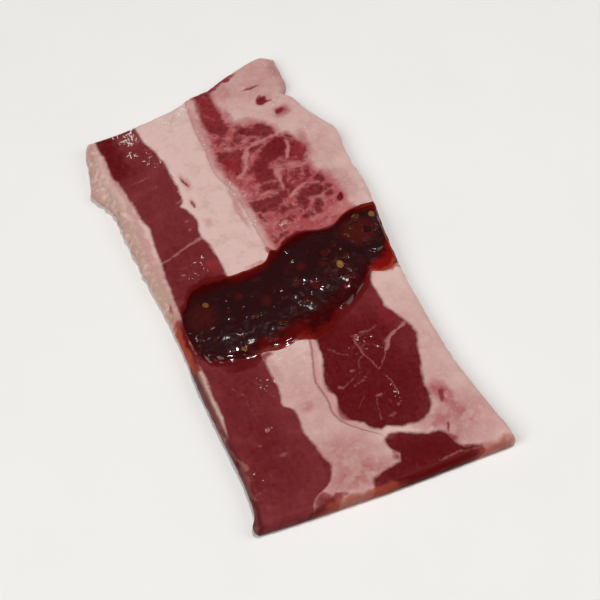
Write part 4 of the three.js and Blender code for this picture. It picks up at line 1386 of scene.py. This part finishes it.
def spots_on_sauce(scene, rng, listed, wanted, size, spacing, sink, tone):
    """Places on the sauce's skin, more of them where it is thick, none closer than spacing.
    The listed ones bring their own tone, the rest are spread round the one given."""
    x, y, side, thick, _ = sauce_form(scene.brisket_sauce)
    skin = np.stack([x, y, face_height(x, y, scene.brisket_slice) + thick], -1)
    mound = mound_height(x, y)
    spots = []
    for at_x, at_y, long, own_tone in listed:
        nearest = np.unravel_index(np.argmin(np.hypot(x - at_x, y - at_y)), x.shape)
        spots.append((skin[nearest] - (0, 0, sink * 0.4), long, own_tone))
    while len(spots) < wanted:
        at = rng.integers(0, x.shape[0]), rng.integers(0, x.shape[1])
        if side[at] < 0.09 or mound[at] < 3.6 * rng.uniform():
            continue
        place = skin[at] - (0, 0, sink)
        if any(np.hypot(*(place - other[0])[:2]) < spacing for other in spots):
            continue
        spots.append((place, size * rng.uniform(0.65, 1.25), tone + 0.15 * rng.uniform(-1, 1)))
    return spots


def spots_on_slice(sizes, rng):
    """Places of the torn shreds, near-white painted glints, on the cut face, spread round the
    listed ones.
    """
    listed = np.repeat(GLINT_SHREDS, [row[4] for row in GLINT_SHREDS], axis=0)
    x = listed[:, 0] + listed[:, 2] * rng.normal(0, 0.6, len(listed))
    y = listed[:, 1] + listed[:, 3] * rng.normal(0, 0.6, len(listed))
    y = np.minimum(y, far_end(x) - 1.5)
    height = face_height(x, y, sizes) + fibre_height(x, y) + 0.02
    return [
        (place, sizes.shred_size * long * rng.uniform(0.3, 1.3), rng.uniform(0, 1) ** 0.7)
        for place, long in zip(np.stack([x, y, height], -1), listed[:, 5])
    ]


# ---- Operators -----------------------------------------------------------------------------


class BRISKET_OT_slice(bpy.types.Operator):
    """Make the slice of brisket"""

    bl_idname = "brisket.slice"
    bl_label = "Slice"

    def execute(self, context):
        sizes = context.scene.brisket_slice
        piece = new_piece("brisket", *slice_mesh(sizes), raw_meat(colours_of(sizes)))
        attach(piece, "root")
        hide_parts("brisket_slice")
        return {"FINISHED"}


class BRISKET_OT_sauce(bpy.types.Operator):
    """Make the chilli sauce on the slice"""

    bl_idname = "brisket.sauce"
    bl_label = "Sauce"

    def execute(self, context):
        sizes = context.scene.brisket_sauce
        form = sauce_mesh(sizes, context.scene.brisket_slice)
        piece = new_piece("sauce", *form, chilli_sauce(colours_of(sizes)))
        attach(piece, "root")
        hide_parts("chilli_sauce")
        return {"FINISHED"}


class BRISKET_OT_shreds(bpy.types.Operator):
    """Make the torn wet shreds on the slice, near-white as painted glints"""

    bl_idname = "brisket.shreds"
    bl_label = "Torn shreds"

    def execute(self, context):
        sizes = context.scene.brisket_slice
        rng = np.random.default_rng(8)
        # the shreds are near-white: painted glints on the wet face
        spots = spots_on_slice(sizes, rng)
        forms = [shred_form(rng) for _ in range(16)]
        form = scatter(forms, spots, rng, lean_over=0.05)
        piece = new_piece("torn_shreds", *form, glint_shred_finish(colours_of(sizes)))
        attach(piece, "root")
        return {"FINISHED"}


class BRISKET_OT_seeds(bpy.types.Operator):
    """Make the chilli seeds in the sauce"""

    bl_idname = "brisket.seeds"
    bl_label = "Chilli seeds"

    def execute(self, context):
        bits = context.scene.brisket_bits
        rng = np.random.default_rng(21)
        spots = spots_on_sauce(
            context.scene, rng, CLEAR_SEEDS, bits.seeds, bits.seed_length,
            spacing=2.6, sink=0.28, tone=0.92,
        )
        form = scatter([seed_form()], spots, rng, lean_over=0.18)
        piece = new_piece("chilli_seeds", *form, seed_shell(colours_of(bits)))
        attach(piece, "root")
        return {"FINISHED"}


class BRISKET_OT_flakes(bpy.types.Operator):
    """Make the flakes of chilli skin in the sauce"""

    bl_idname = "brisket.flakes"
    bl_label = "Chilli flakes"

    def execute(self, context):
        bits = context.scene.brisket_bits
        rng = np.random.default_rng(33)
        spots = spots_on_sauce(
            context.scene, rng, CLEAR_FLAKES, bits.flakes, bits.flake_length,
            spacing=2.2, sink=0.12, tone=0.15,
        )
        forms = [flake_form(rng) for _ in range(8)]
        form = scatter(forms, spots, rng, lean_over=0.16)
        piece = new_piece("chilli_flakes", *form, chilli_skin(colours_of(bits)))
        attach(piece, "root")
        return {"FINISHED"}


def soft_light(name, place, size, watts):
    """A square soft box that faces the slice."""
    light = bpy.data.lights.new(name, "AREA")
    light.size = size
    light.energy = watts
    box = bpy.data.objects.new(name, light)
    box.location = place
    away = np.array(place) / np.linalg.norm(place)
    box.rotation_euler = (math.acos(away[2]), 0, math.atan2(away[0], -away[1]))
    bpy.context.scene.collection.objects.link(box)


class BRISKET_OT_studio(bpy.types.Operator):
    """Make the floor, the lights and the camera"""

    bl_idname = "brisket.studio"
    bl_label = "Studio"

    def execute(self, context):
        scene = context.scene
        settings = scene.brisket_studio
        mesh = bpy.data.meshes.new("floor")
        corners = [(FLOOR_REACH * x, FLOOR_REACH * y, 0) for x, y in FLOOR_CORNERS]
        mesh.from_pydata(corners, [], [(0, 1, 2, 3)])
        mesh.materials.append(studio_floor(colours_of(settings)))
        floor = bpy.data.objects.new("floor", mesh)
        floor.location.z = -FLOOR_GAP
        scene.collection.objects.link(floor)
        for name, place, size in LIGHTS:
            soft_light(f"{name}_light", place, size, getattr(settings, name))

        world = bpy.data.worlds.new("even_room_light")
        world.use_nodes = True
        room = world.node_tree.nodes["Background"].inputs
        room["Color"].default_value = (1, 1, 1, 1)
        room["Strength"].default_value = settings.room
        scene.world = world

        lens = bpy.data.cameras.new("camera")
        lens.lens = settings.lens
        lens.sensor_width = SENSOR_WIDTH
        camera = bpy.data.objects.new("camera", lens)
        camera.location = CAMERA_AT
        camera.rotation_euler = [math.radians(turn) for turn in CAMERA_TURN]
        scene.collection.objects.link(camera)
        scene.camera = camera
        scene.view_settings.view_transform = "Standard"
        return {"FINISHED"}


class BRISKET_PT_panel(bpy.types.Panel):
    """Lists the pieces and their settings"""

    bl_idname = "BRISKET_PT_panel"
    bl_label = "Brisket slice"
    bl_space_type = "VIEW_3D"
    bl_region_type = "UI"
    bl_category = "Brisket"

    def draw(self, context):
        for operator in OPERATORS:
            self.layout.operator(operator.bl_idname)
        for group in GROUPS:
            settings = getattr(context.scene, group)
            box = self.layout.box()
            for name in settings.bl_rna.properties.keys():
                if name not in ("name", "rna_type"):
                    box.prop(settings, name)


OPERATORS = (
    BRISKET_OT_studio, BRISKET_OT_slice, BRISKET_OT_shreds, BRISKET_OT_sauce, BRISKET_OT_seeds,
    BRISKET_OT_flakes,
)
GROUPS = {
    "brisket_slice": SliceSettings,
    "brisket_sauce": SauceSettings,
    "brisket_bits": BitSettings,
    "brisket_studio": StudioSettings,
}


def register():
    for kind in (*GROUPS.values(), *OPERATORS, BRISKET_PT_panel):
        bpy.utils.register_class(kind)
    for name, kind in GROUPS.items():
        setattr(bpy.types.Scene, name, bpy.props.PointerProperty(type=kind))


def unregister():
    for name in GROUPS:
        delattr(bpy.types.Scene, name)
    for kind in (BRISKET_PT_panel, *reversed(OPERATORS), *GROUPS.values()):
        bpy.utils.unregister_class(kind)


def main():
    register()
    bpy.ops.brisket.studio()
    bpy.ops.brisket.slice()
    bpy.ops.brisket.shreds()
    bpy.ops.brisket.sauce()
    bpy.ops.brisket.seeds()
    bpy.ops.brisket.flakes()
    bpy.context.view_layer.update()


if __name__ == "__main__":
    main()
